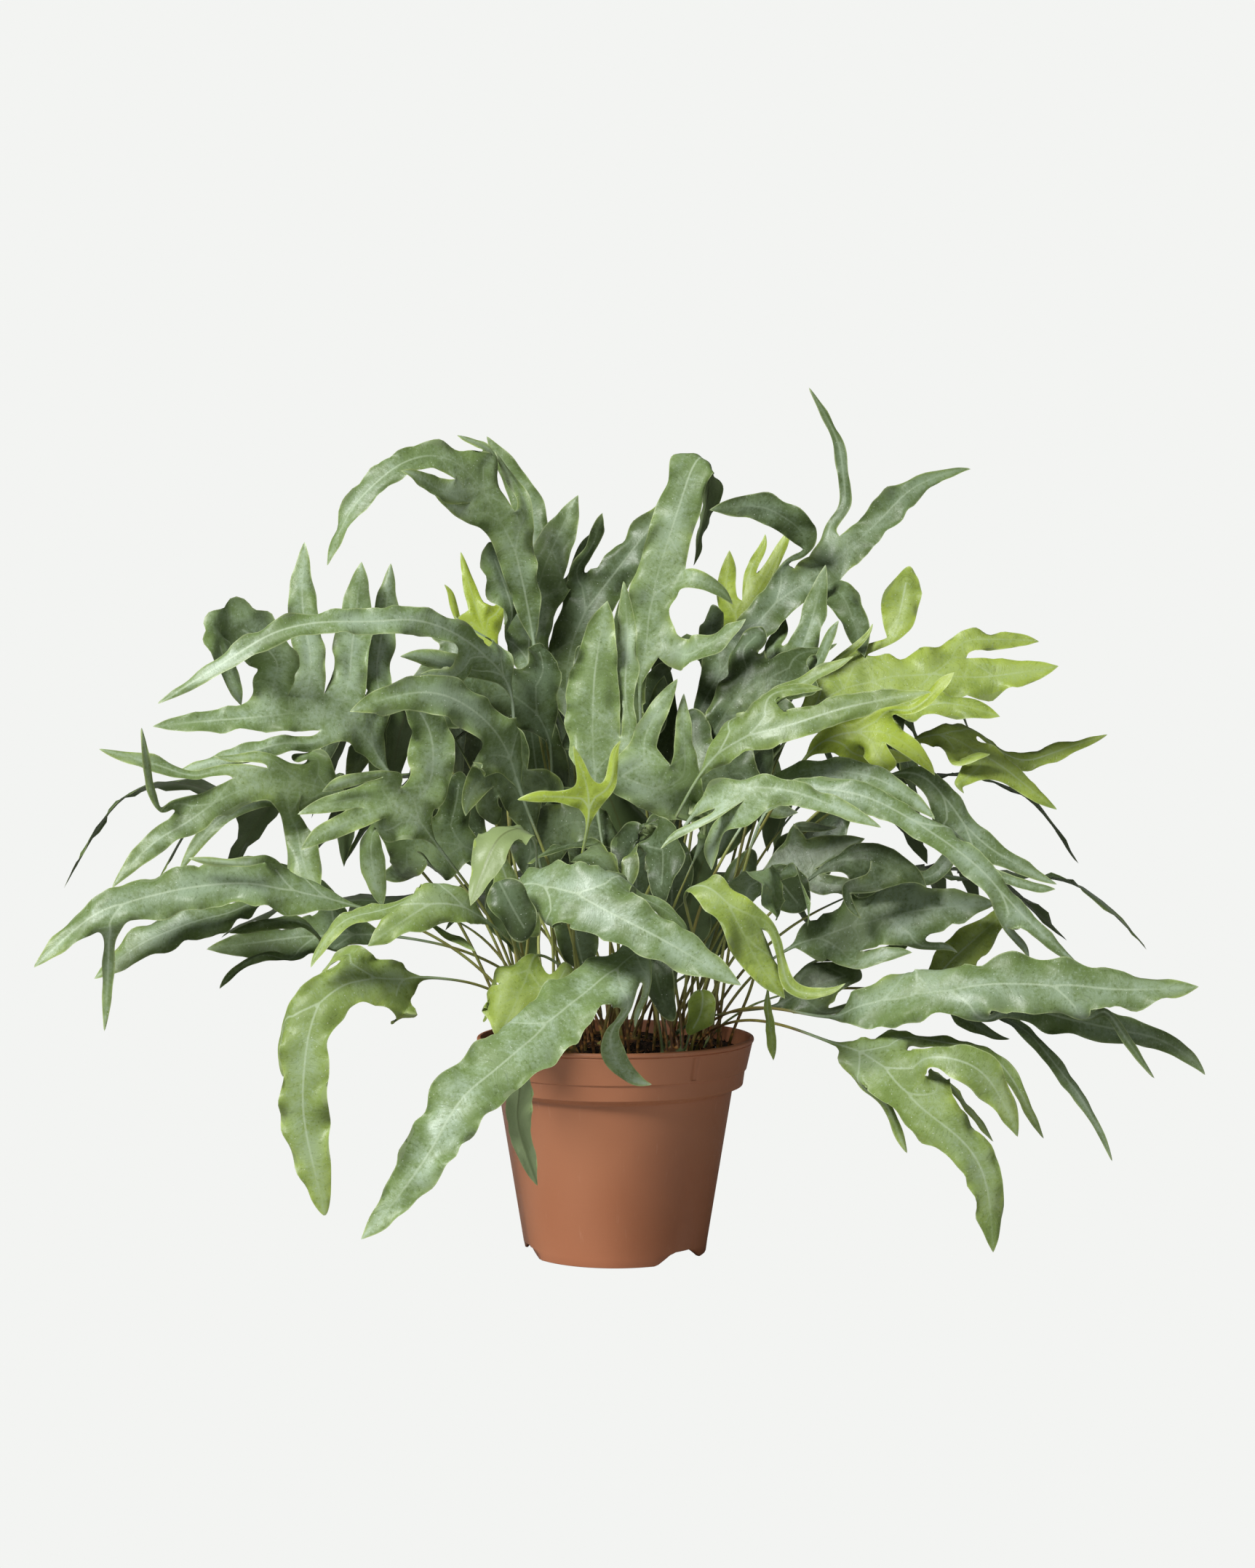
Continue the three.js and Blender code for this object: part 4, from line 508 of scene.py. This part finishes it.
def leafy(points, faces, sheets, marked, fields, seed):
    """Gives the smooth blades their rib, their arched halves and their wavy edges."""
    up = corner_normals(points, faces, sheets)
    own = corner_normals(points, faces)
    stipe = fields["stipe"]
    leaf = 1 - stipe
    rib_point, reach = nearest(points, line_tree(points, marked["rib"]))
    _, rim = nearest(points, line_tree(points, marked["crease"]))
    out = points - rib_point
    edge = reach / (reach + rim + 1e-6)
    near_tip = soft_step(0, 0.02, fields["tip"])

    # narrow lobes are waved less
    size = np.clip((reach + rim) / 0.012, 0.25, 1)

    ruffle = Waves(seed, BLADE["ruffle_length"])(points) * BLADE["ruffle"]
    frill = Waves(seed + 1, BLADE["frill_length"])(points) * BLADE["frill"]
    lift = (ruffle * edge**1.6 + frill * edge**3) * size * (0.35 + 0.65 * near_tip) * leaf
    lift += BLADE["gull"] * np.sin(math.pi * edge) * size * leaf
    notch = Waves(seed + 2, BLADE["notch_length"])(points) * BLADE["notch"] * near_tip
    points = points + out * (notch * edge**2 * leaf)[:, None]
    points = points + up * lift[:, None]

    ridge = np.exp(-((reach / BLADE["rib_width"]) ** 2)) * BLADE["rib"] * leaf
    points = points + own * ridge[:, None]
    points = points + own * (BLADE["stipe"] * stipe)[:, None]
    fields["reach"] = reach
    fields["rim"] = rim
    fields["edge"] = edge
    return points


def fill(mesh, name, values, domain="POINT"):
    """Gives the mesh an attribute, which the material reads by its name."""
    layer = mesh.attributes.new(name, "FLOAT", domain)
    layer.data.foreach_set("value", np.asarray(values, np.float32).ravel())


def sharpen(mesh, crease):
    """Keeps the shading apart on the two sides of the creases."""
    ends = np.zeros(len(mesh.edges) * 2, int)
    mesh.edges.foreach_get("vertices", ends)
    ends = np.sort(ends.reshape(-1, 2), axis=1)
    count = len(mesh.vertices)
    sharp = np.isin(ends[:, 0] * count + ends[:, 1], crease[:, 0] * count + crease[:, 1])
    layer = mesh.attributes.new("sharp_edge", "BOOLEAN", "EDGE")
    layer.data.foreach_set("value", sharp)


def place_node(name, points, faces, node, material, crease=()):
    """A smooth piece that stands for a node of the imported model."""
    mesh = bpy.data.meshes.new(name)
    mesh.from_pydata(points, [], faces)
    mesh.polygons.foreach_set("use_smooth", np.ones(len(mesh.polygons), bool))
    if len(crease):
        sharpen(mesh, crease)
    mesh.materials.append(material)
    mesh.update()
    obj = bpy.data.objects.new(name, mesh)
    SCENE.collection.objects.link(obj)
    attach(obj, "root")
    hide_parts(node)
    return mesh


def name_of(node):
    return node.replace("frond_", "leaf_").replace("spray_", "leaves_")


def make_frond(node, number, material):
    """A frond or a spray, made finer from its solid. The sprays at the back get fewer faces."""
    points, faces = welded(NODES[node])
    inner = node in INNER_SPRAYS
    spray = node.startswith("spray_")
    face_way = SPRAY_FACE if spray and not inner else FACES.get(node, FACE)
    points, marked, sheets, fields = frond_parts(points, faces, face_way, node not in ROUND_TIPS)
    for _ in range(SPRAYS_HALVED if spray and not inner else FRONDS_HALVED):
        points, faces, marked, fields = halved(points, faces, marked, fields)
        sheets = np.tile(sheets, 4)
    points = leafy(points, faces, sheets, marked, fields, 100 * number)
    crease = marked["crease"]
    mesh = place_node(name_of(node), points.tolist(), faces.tolist(), node, material, crease)
    for name in ("along", "tip", "stipe", "reach", "rim", "edge"):
        fill(mesh, name, fields[name])
    looks = SPRAY_LOOKS if spray else LOOKS.get(node.replace("frond_", ""), OLD)
    for name, value in zip(("wax", "young", "light"), looks):
        fill(mesh, name, np.full(len(points), value))
    fill(mesh, "sheet", sheets * 0.5 + 0.5, domain="FACE")


# Node trees, in short


class Tree:
    """A material's nodes, added by kind with their inputs by name."""

    def __init__(self, name):
        self.material = bpy.data.materials.new(name)
        self.material.use_nodes = True
        self.tree = self.material.node_tree
        self.shader = self.tree.nodes["Principled BSDF"]

    def add(self, kind, options=None, **inputs):
        node = self.tree.nodes.new("ShaderNode" + kind)
        for key, value in (options or {}).items():
            setattr(node, key, value)
        for key, value in inputs.items():
            self.put(node.inputs[int(key[1:]) if key[1:].isdigit() else key.replace("_", " ")], value)
        return node

    def put(self, socket, value):
        if isinstance(value, bpy.types.NodeSocket):
            self.tree.links.new(value, socket)
        else:
            socket.default_value = value

    def field(self, name):
        return self.add("Attribute", {"attribute_name": name}).outputs["Fac"]

    def place(self, scale=(1, 1, 1)):
        coordinates = self.add("TexCoord").outputs["Object"]
        return self.add("Mapping", Vector=coordinates, Scale=scale).outputs[0]

    def noise(self, scale, detail=3.0, rough=0.5, at=None):
        node = self.add("TexNoise", Scale=scale, Detail=detail, Roughness=rough)
        self.put(node.inputs["Vector"], at if at is not None else self.place())
        return node.outputs["Fac"]

    def cells(self, scale, feature="F1", at=None):
        node = self.add("TexVoronoi", {"feature": feature}, Scale=scale)
        self.put(node.inputs["Vector"], at if at is not None else self.place())
        return node.outputs["Distance"]

    def sum(self, *values):
        return self.fold("ADD", values)

    def times(self, *values):
        return self.fold("MULTIPLY", values)

    def less(self, a, b):
        return self.math("SUBTRACT", a, b)

    def fold(self, kind, values):
        total = values[0]
        for value in values[1:]:
            total = self.math(kind, total, value)
        return total

    def math(self, kind, a, b=0.0):
        return self.add("Math", {"operation": kind}, _0=a, _1=b).outputs[0]

    def step(self, value, low, high, to_low=0.0, to_high=1.0):
        node = self.add("MapRange", {"interpolation_type": "SMOOTHSTEP"}, Value=value)
        for key, number in (("From Min", low), ("From Max", high), ("To Min", to_low), ("To Max", to_high)):
            self.put(node.inputs[key], number)
        return node.outputs[0]

    def mix(self, share, one, two):
        node = self.add("Mix", {"data_type": "RGBA"})
        self.put(node.inputs[0], share)
        self.put(node.inputs[6], one if isinstance(one, bpy.types.NodeSocket) else (*one, 1))
        self.put(node.inputs[7], two if isinstance(two, bpy.types.NodeSocket) else (*two, 1))
        return node.outputs[2]

    def across_and_along(self, along, across):
        """A place made of two values, for a pattern that follows the blade."""
        return self.add("CombineXYZ", _0=along, _1=across).outputs[0]

    def bump(self, height, strength, distance):
        return self.add("Bump", Height=height, Strength=strength, Distance=distance).outputs[0]

    def set(self, **values):
        for key, value in values.items():
            self.put(self.shader.inputs[key.replace("_", " ")], value)
        return self.material


def srgb(*values):
    """A colour given as it looks on screen, 0 to 255."""
    return tuple(
        v / 255 / 12.92 if v / 255 <= 0.04045 else ((v / 255 + 0.055) / 1.055) ** 2.4 for v in values
    )


def leaf_material():
    """Glaucous green blades: waxy along the rib, greener towards the edge, with slanting fibres."""
    t = Tree("frond_leaf")
    edge, along, reach, rim = t.field("edge"), t.field("along"), t.field("reach"), t.field("rim")
    tip, stipe, sheet = t.field("tip"), t.field("stipe"), t.field("sheet")
    wax, young, light = t.field("wax"), t.field("young"), t.field("light")
    blotch = t.noise(34, 4, 0.65)
    wide = t.noise(11, 2, 0.5)
    grain = t.noise(520, 3, 0.7)

    # fibres run out from the rib and forwards, and wander
    wander = t.times(t.less(t.noise(60, 3, 0.6), 0.5), 0.009)
    slant = t.sum(along, t.times(reach, -0.75), wander)
    fibres = t.noise(1.0, 3, 0.65, at=t.across_and_along(t.times(slant, 800), t.times(reach, 90)))
    bands = t.noise(1.0, 2, 0.5, at=t.across_and_along(t.times(slant, 210), t.times(reach, 45)))

    dark = srgb(36, 50, 12)
    # the base runs from dark to light green by the frond's light value: partly its own tone, partly painted
    # shade deep in the plant
    base = t.mix(t.step(t.sum(light, t.times(t.less(wide, 0.5), 0.7)), 0.0, 0.95), dark, srgb(106, 130, 60))
    # yellow-green of young growth, of blotches near the edge and at the tips; at the tips and on young fronds
    # it is partly painted backlight glow
    youth_and_backlight = t.sum(
        t.times(young, t.step(blotch, 0.3, 0.7, 0.75, 1.1)),
        t.times(t.step(tip, 0.06, 0.0, 0.0, 0.35), t.step(blotch, 0.35, 0.65)),
        t.times(t.step(edge, 0.65, 1.0), t.step(blotch, 0.45, 0.7, 0.0, 0.25)),
    )
    base = t.mix(t.step(youth_and_backlight, 0.05, 1.0), base, srgb(164, 184, 58))
    # the wax's paleness follows the same light value, so it carries the same painted shade
    pale = t.mix(light, srgb(66, 90, 48), srgb(182, 202, 176))
    bloom = t.times(
        wax,
        t.step(edge, 1.0, 0.1, 0.35, 1.0),
        t.step(t.sum(blotch, t.times(t.less(bands, 0.5), 0.18), t.times(t.less(grain, 0.5), 0.35)),
               0.36, 0.66, 0.2, 1.0),
    )
    base = t.mix(t.math("MINIMUM", bloom, 0.95), base, pale)
    base = t.mix(t.times(t.step(fibres, 0.54, 0.75), 0.22), base, pale)
    base = t.mix(t.times(t.step(fibres, 0.46, 0.28), 0.25), base, dark)
    base = t.mix(t.times(t.step(grain, 0.58, 0.72), 0.35), base, pale)
    base = t.mix(t.times(t.step(grain, 0.42, 0.3), 0.3), base, dark)

    rib_line = t.times(t.step(reach, 0.001, 0.0001), t.step(tip, 0.0, 0.05, 0.15, 1.0))
    base = t.mix(t.times(rib_line, t.step(light, 0.3, 0.8, 0.2, 0.5)), base, srgb(190, 206, 176))
    margin = t.step(rim, 0.0007, 0.0002)
    base = t.mix(t.times(margin, 0.4), base, srgb(190, 204, 150))
    dots = t.times(t.step(t.cells(330), 0.11, 0.06), t.step(t.noise(60, 1), 0.4, 0.58))
    base = t.mix(t.times(dots, 0.7), base, srgb(214, 222, 204))

    # the underside's lightness follows the light value too: partly painted shade
    under = t.mix(t.step(t.sum(light, t.times(t.less(blotch, 0.5), 0.5)), 0.0, 1.0),
                  srgb(66, 86, 40), srgb(138, 156, 110))
    # young undersides turn yellow: partly their own colour, partly painted backlight glow
    under = t.mix(t.times(t.step(young, 0.1, 1.0), 0.8), under, srgb(152, 170, 62))
    under = t.mix(t.times(rib_line, 0.6), under, srgb(84, 90, 46))
    under = t.mix(t.times(margin, 0.3), under, srgb(176, 190, 130))
    colour = t.mix(sheet, under, base)

    # stalks are brown and scaly at the soil, and green further up
    height_up = t.add("SeparateXYZ", Vector=t.add("NewGeometry").outputs["Position"]).outputs[2]
    stalk = t.mix(t.step(height_up, 0.136, 0.18), srgb(96, 62, 34), srgb(150, 156, 84))
    stalk = t.mix(t.step(t.noise(60, 2), 0.45, 0.7), stalk, srgb(132, 126, 62))
    scales = t.times(t.step(height_up, 0.143, 0.136), t.step(t.cells(330), 0.6, 0.2))
    stalk = t.mix(scales, stalk, srgb(178, 128, 70))
    colour = t.mix(t.step(stipe, 0.4, 0.9), colour, stalk)

    relief = t.sum(
        t.times(bands, 0.35, t.step(reach, 0.0, 0.004)),
        t.times(fibres, 0.6),
        t.times(t.cells(520, "DISTANCE_TO_EDGE"), 0.4),
        t.times(grain, 0.35),
        t.times(t.noise(90, 2, 0.5), 1.6),
    )
    rough = t.step(t.sum(blotch, t.times(t.less(fibres, 0.5), 0.4)), 0.3, 0.75, 0.52, 0.36)
    return t.set(
        Base_Color=colour,
        Roughness=rough,
        Normal=t.bump(relief, 0.4, 0.0005),
        Specular_IOR_Level=0.42,
        Sheen_Weight=0.08,
        Sheen_Roughness=0.4,
    )


def plastic_material():
    """Terracotta-coloured plastic, with fine turning marks and faint scuffs."""
    t = Tree("pot_plastic")
    broad = t.noise(9, 2, 0.5)
    fine = t.noise(420, 3, 0.6)
    turning = t.noise(1.0, 3, 0.6, at=t.place((12, 12, 1400)))
    scuff = t.noise(1.0, 3, 0.6, at=t.place((260, 260, 26)))
    colour = t.mix(t.step(broad, 0.3, 0.7), srgb(186, 123, 88), srgb(176, 112, 78))
    colour = t.mix(t.times(t.step(scuff, 0.62, 0.8), 0.2), colour, srgb(212, 164, 138))
    rough = t.step(t.sum(fine, t.times(scuff, 0.5)), 0.4, 1.1, 0.34, 0.46)
    return t.set(
        Base_Color=colour,
        Roughness=rough,
        Normal=t.bump(t.sum(t.times(fine, 0.5), turning, t.times(scuff, 0.4)), 0.1, 0.0004),
        Specular_IOR_Level=0.45,
    )


def peat_material():
    """Dark peat. The attribute kind tells its crumbs from its fibres and its perlite."""
    t = Tree("peat")
    kind = t.field("kind")
    lumps = t.cells(170)
    grains = t.noise(380, 4, 0.7)
    # lighter on the lump tops and darker in the low gaps between them: painted shade in the hollows
    colour = t.mix(t.step(lumps, 0.1, 0.7), srgb(62, 46, 34), srgb(24, 17, 13))
    colour = t.mix(t.step(grains, 0.58, 0.75), colour, srgb(92, 70, 52))
    colour = t.mix(t.step(kind, 0.2, 0.5), colour, srgb(124, 88, 54))
    colour = t.mix(t.step(kind, 0.7, 1.0), colour, srgb(214, 206, 192))
    return t.set(
        Base_Color=colour,
        Roughness=0.95,
        Normal=t.bump(t.sum(t.times(lumps, -1.0), grains), 0.8, 0.0015),
        Specular_IOR_Level=0.2,
    )


# The pot and its soil


def rounded(outline, size):
    """An outline with each corner cut back and curved over."""
    points = [np.array(point, float) for point in outline]
    curve = [points[0]]
    for before, corner, after in zip(points, points[1:], points[2:]):
        start = corner + (before - corner) * min(size / np.linalg.norm(before - corner), 0.4)
        end = corner + (after - corner) * min(size / np.linalg.norm(after - corner), 0.4)
        curve += [start, (start + 2 * corner + end) / 4, end]
    curve.append(points[-1])
    return curve


def turned(outline, angles, shape):
    """A body turned round the axis. Its outline starts and ends there, and shape moves its corners."""
    points = [(0, 0, outline[0][1]), (0, 0, outline[-1][1])]
    count = len(angles)
    faces = []
    rings = outline[1:-1]
    for radius, height in rings:
        for angle in angles:
            r, z = shape(radius, height, angle)
            points.append((r * math.sin(angle), -r * math.cos(angle), z))
    for n in range(count):
        m = (n + 1) % count
        faces.append((0, 2 + m, 2 + n))
        for k in range(len(rings) - 1):
            low, high = 2 + k * count, 2 + (k + 1) * count
            faces.append((low + n, low + m, high + m, high + n))
        last = 2 + (len(rings) - 1) * count
        faces.append((1, last + n, last + m))
    return points, faces


def turn_between(angle, centre):
    """How far an angle is from another one, the short way round."""
    return abs((angle - centre + math.pi) % (2 * math.pi) - math.pi)


def make_pot():
    """The pot: a foot with three notches, a tapered wall, and a collar with grooves and a lip."""
    foot, wall, collar = POT["foot"], POT["wall"], POT["collar"]
    (low_r, low_z), (high_r, high_z) = collar
    groove_low, groove_high = POT["groove"]

    def on_collar(height):
        return low_r + (high_r - low_r) * (height - low_z) / (high_z - low_z), height

    pad, floor_under, floor = POT["pad"], POT["floor_under"], POT["floor"]
    rim, top = POT["rim"], POT["height"]
    under = [(0, 0), (pad, 0), (pad + 1, floor_under), (foot - wall - 0.4, floor_under), (foot - wall, 0)]
    outside = [(foot, 0), (foot + 0.9, 6.6)]
    outside += [(71.7, 98.5), (74.5, 100.3), (78.2, 102), (79.5, 111.2), collar[0]]
    outside += [on_collar(z) for z in (groove_low, groove_low + 0.4, groove_high - 0.4, groove_high)]
    outside += [collar[1], (high_r - 0.6, 128), (rim, 128.6), (rim, 130.4), (84.2, top)]
    inside = [(82.7, top), (82.3, 128), (78.6, 112.6), (76.6, 103.4), (70, 99.2)]
    inside += [(foot - wall, floor), (0, floor)]
    outline = rounded(under + outside + inside, POT["corner"])

    notches = [math.radians(angle) for angle in POT["notch_angles"]]
    grooves = [math.radians(angle) for angle in POT["groove_angles"]]
    angles = [2 * math.pi * n / POT["sides"] for n in range(POT["sides"])]
    for groove in grooves:
        angles += [(groove + side / high_r) % (2 * math.pi) for side in (-1.9, -1.6, 1.6, 1.9)]
    angles.sort()

    def shape(radius, height, angle):
        if radius > foot - 4 and height < POT["notch_height"]:
            gap = min(turn_between(angle, notch) for notch in notches) * radius
            cut = min(1, max(0, (POT["notch_half"] - gap) / POT["notch_slant"]))
            height = max(height, POT["notch_height"] * cut)
        if radius > 79 and groove_low + 0.2 < height < groove_high - 0.2:
            if min(turn_between(angle, groove) for groove in grooves) * radius < POT["groove_half"]:
                radius -= POT["groove_depth"]
        return radius * MM, height * MM

    outline = [(radius, height * MM if radius == 0 else height) for radius, height in outline]
    points, faces = turned(outline, angles, shape)
    place_node("pot_shell", points, faces, "pot", plastic_material())


def soil_height(x, y):
    """The soil's surface in millimetres, domed and uneven as in the solid."""
    drop = SOIL["middle"] - SOIL["edge"]
    dome = SOIL["middle"] - drop * (math.hypot(x, y) / SOIL["radius"]) ** 2
    return dome + SOIL["swell"] * math.sin(x / 13 + 0.6) * math.cos(y / 11 - 0.4)


def make_soil():
    """Peat with crumbs, bits of perlite and fibres on its surface."""
    draw = random.Random(11)
    reach, edge = SOIL["reach"], SOIL["edge"]
    rings = [reach - SOIL["ring_step"] * n for n in range(SOIL["rings"])]
    outline = [(0, 9.8), (53.3, 9.8), (69.4, 99.4), (76, 103.6), (78, 112.8)]
    outline += [(ring, edge) for ring in rings] + [(0, soil_height(0, 0))]
    angles = [2 * math.pi * n / SOIL["sides"] for n in range(SOIL["sides"])]
    lumps = Waves(12, SOIL["lump_length"])
    crumbling = Waves(13, SOIL["crumbling_length"])

    def shape(radius, height, angle):
        if height == edge:
            x, y = radius * math.sin(angle), -radius * math.cos(angle)
            at = np.array([[x, y, 0.0]])
            inward = min(1, (reach - radius) / 4)
            bumps = SOIL["lumps"] * float(lumps(at)[0]) + SOIL["crumbling"] * float(crumbling(at)[0])
            height = soil_height(x, y) + inward * bumps
        return radius * MM, height * MM

    outline = [(radius, height * MM if radius == 0 else height) for radius, height in outline]
    points, faces = turned(outline, angles, shape)
    kind = [PEAT] * len(points)

    def add(corners, sides, value):
        start = len(points)
        points.extend(tuple(corner * MM) for corner in corners)
        faces.extend(tuple(start + k for k in side) for side in sides)
        kind.extend([value] * len(corners))

    def spot():
        radius, angle = SOIL["strewn"] * math.sqrt(draw.random()), draw.uniform(0, 2 * math.pi)
        x, y = radius * math.cos(angle), radius * math.sin(angle)
        return np.array([x, y, soil_height(x, y)])

    ways = [(1, 0, 0), (0, 1, 0), (-1, 0, 0), (0, -1, 0), (0, 0, 1), (0, 0, -1)]
    sides = [(k, (k + 1) % 4, 4) for k in range(4)] + [((k + 1) % 4, k, 5) for k in range(4)]
    for number in range(SOIL["crumbs"]):
        perlite = number % SOIL["perlite_every"] == 0
        size = draw.uniform(0.7, 1.3) if perlite else draw.uniform(0.5, 1.9)
        turn = draw.uniform(0, math.pi)
        cos, sin = math.cos(turn), math.sin(turn)
        spin = np.array([[cos, -sin, 0], [sin, cos, 0], [0, 0, 1]])
        at = spot()
        corners = [at + spin @ (np.array(way) * size * draw.uniform(0.6, 1.2)) for way in ways]
        add(corners, sides, PERLITE if perlite else PEAT)
    for _ in range(SOIL["fibres"]):
        at, angle = spot(), draw.uniform(0, 2 * math.pi)
        way = np.array([math.cos(angle), math.sin(angle), draw.uniform(-0.1, 0.25)]) * draw.uniform(2.5, 6)
        side = np.array([-math.sin(angle), math.cos(angle), 0]) * 0.28
        up = np.array([0, 0, 0.45])
        lift = np.array([0, 0, 0.6])
        corners = [at + lift + end + bit for end in (-way, way) for bit in (side, -side, up)]
        add(corners, [(0, 1, 2), (3, 5, 4), (0, 3, 4, 1), (1, 4, 5, 2), (2, 5, 3, 0)], FIBRE)
    mesh = place_node("peat_fill", points, faces, "soil", peat_material())
    fill(mesh, "kind", kind)


# Light, ground and camera


def make_world():
    """The air: pale to the camera, and dim as light."""
    world = bpy.data.worlds.new("studio")
    SCENE.world = world
    world.use_nodes = True
    tree = world.node_tree
    back = tree.nodes["Background"]
    back.inputs[0].default_value = (*PALE, 1)
    back.inputs[1].default_value = AROUND
    seen = tree.nodes.new("ShaderNodeBackground")
    seen.inputs[0].default_value = (*PALE, 1)
    seen.inputs[1].default_value = 1.0
    path = tree.nodes.new("ShaderNodeLightPath")
    mix = tree.nodes.new("ShaderNodeMixShader")
    tree.links.new(path.outputs["Is Camera Ray"], mix.inputs[0])
    tree.links.new(back.outputs[0], mix.inputs[1])
    tree.links.new(seen.outputs[0], mix.inputs[2])
    tree.links.new(mix.outputs[0], tree.nodes["World Output"].inputs[0])


def make_floor():
    """The ground: pale to the camera, and a plain grey for the light that it gives back."""
    mesh = bpy.data.meshes.new("floor")
    size = GROUND["half_size"]
    corners = [(-size, -size, 0), (size, -size, 0), (size, size, 0), (-size, size, 0)]
    mesh.from_pydata(corners, [], [(0, 1, 2, 3)])
    floor = bpy.data.objects.new("floor", mesh)
    SCENE.collection.objects.link(floor)
    material = bpy.data.materials.new("floor")
    material.use_nodes = True
    tree = material.node_tree
    tree.nodes.remove(tree.nodes["Principled BSDF"])
    glow = tree.nodes.new("ShaderNodeEmission")
    glow.inputs[0].default_value = (*PALE, 1)
    plain = tree.nodes.new("ShaderNodeBsdfDiffuse")
    plain.inputs[0].default_value = (*GROUND["colour"], 1)
    path = tree.nodes.new("ShaderNodeLightPath")
    mix = tree.nodes.new("ShaderNodeMixShader")
    tree.links.new(path.outputs["Is Camera Ray"], mix.inputs[0])
    tree.links.new(plain.outputs[0], mix.inputs[1])
    tree.links.new(glow.outputs[0], mix.inputs[2])
    tree.links.new(mix.outputs[0], tree.nodes["Material Output"].inputs[0])
    mesh.materials.append(material)


def make_light(name, place, size, power):
    light = bpy.data.lights.new(name, "AREA")
    light.shape = "DISK"
    light.size = size
    light.energy = power
    obj = bpy.data.objects.new(name, light)
    obj.location = place
    obj.rotation_euler = (Vector(LAMP_AIM) - Vector(place)).to_track_quat("-Z", "Y").to_euler()
    SCENE.collection.objects.link(obj)


def make_camera():
    """A level camera, shifted to the height of the photograph's middle."""
    camera = bpy.data.cameras.new("camera")
    wide, high = VIEW["pixels"]
    camera.sensor_fit = "VERTICAL"
    camera.sensor_height = VIEW["sensor"]
    height = VIEW["width"] * high / wide
    camera.lens = VIEW["sensor"] * VIEW["distance"] / height
    camera.shift_y = (VIEW["centre_up"] - EYE[2]) / height
    camera.clip_end = VIEW["far"]
    obj = bpy.data.objects.new("camera", camera)
    obj.location = EYE
    obj.rotation_euler = (math.radians(90), 0, 0)
    SCENE.collection.objects.link(obj)
    SCENE.camera = obj


make_world()
make_floor()
for name, (place, size, power) in LAMPS.items():
    make_light(name, place, size, power)
make_camera()
SCENE.view_settings.view_transform = "Standard"

make_pot()
make_soil()
leaf = leaf_material()
for number, node in enumerate(sorted(n for n in NODES if n.startswith(("frond_", "spray_")))):
    make_frond(node, number, leaf)
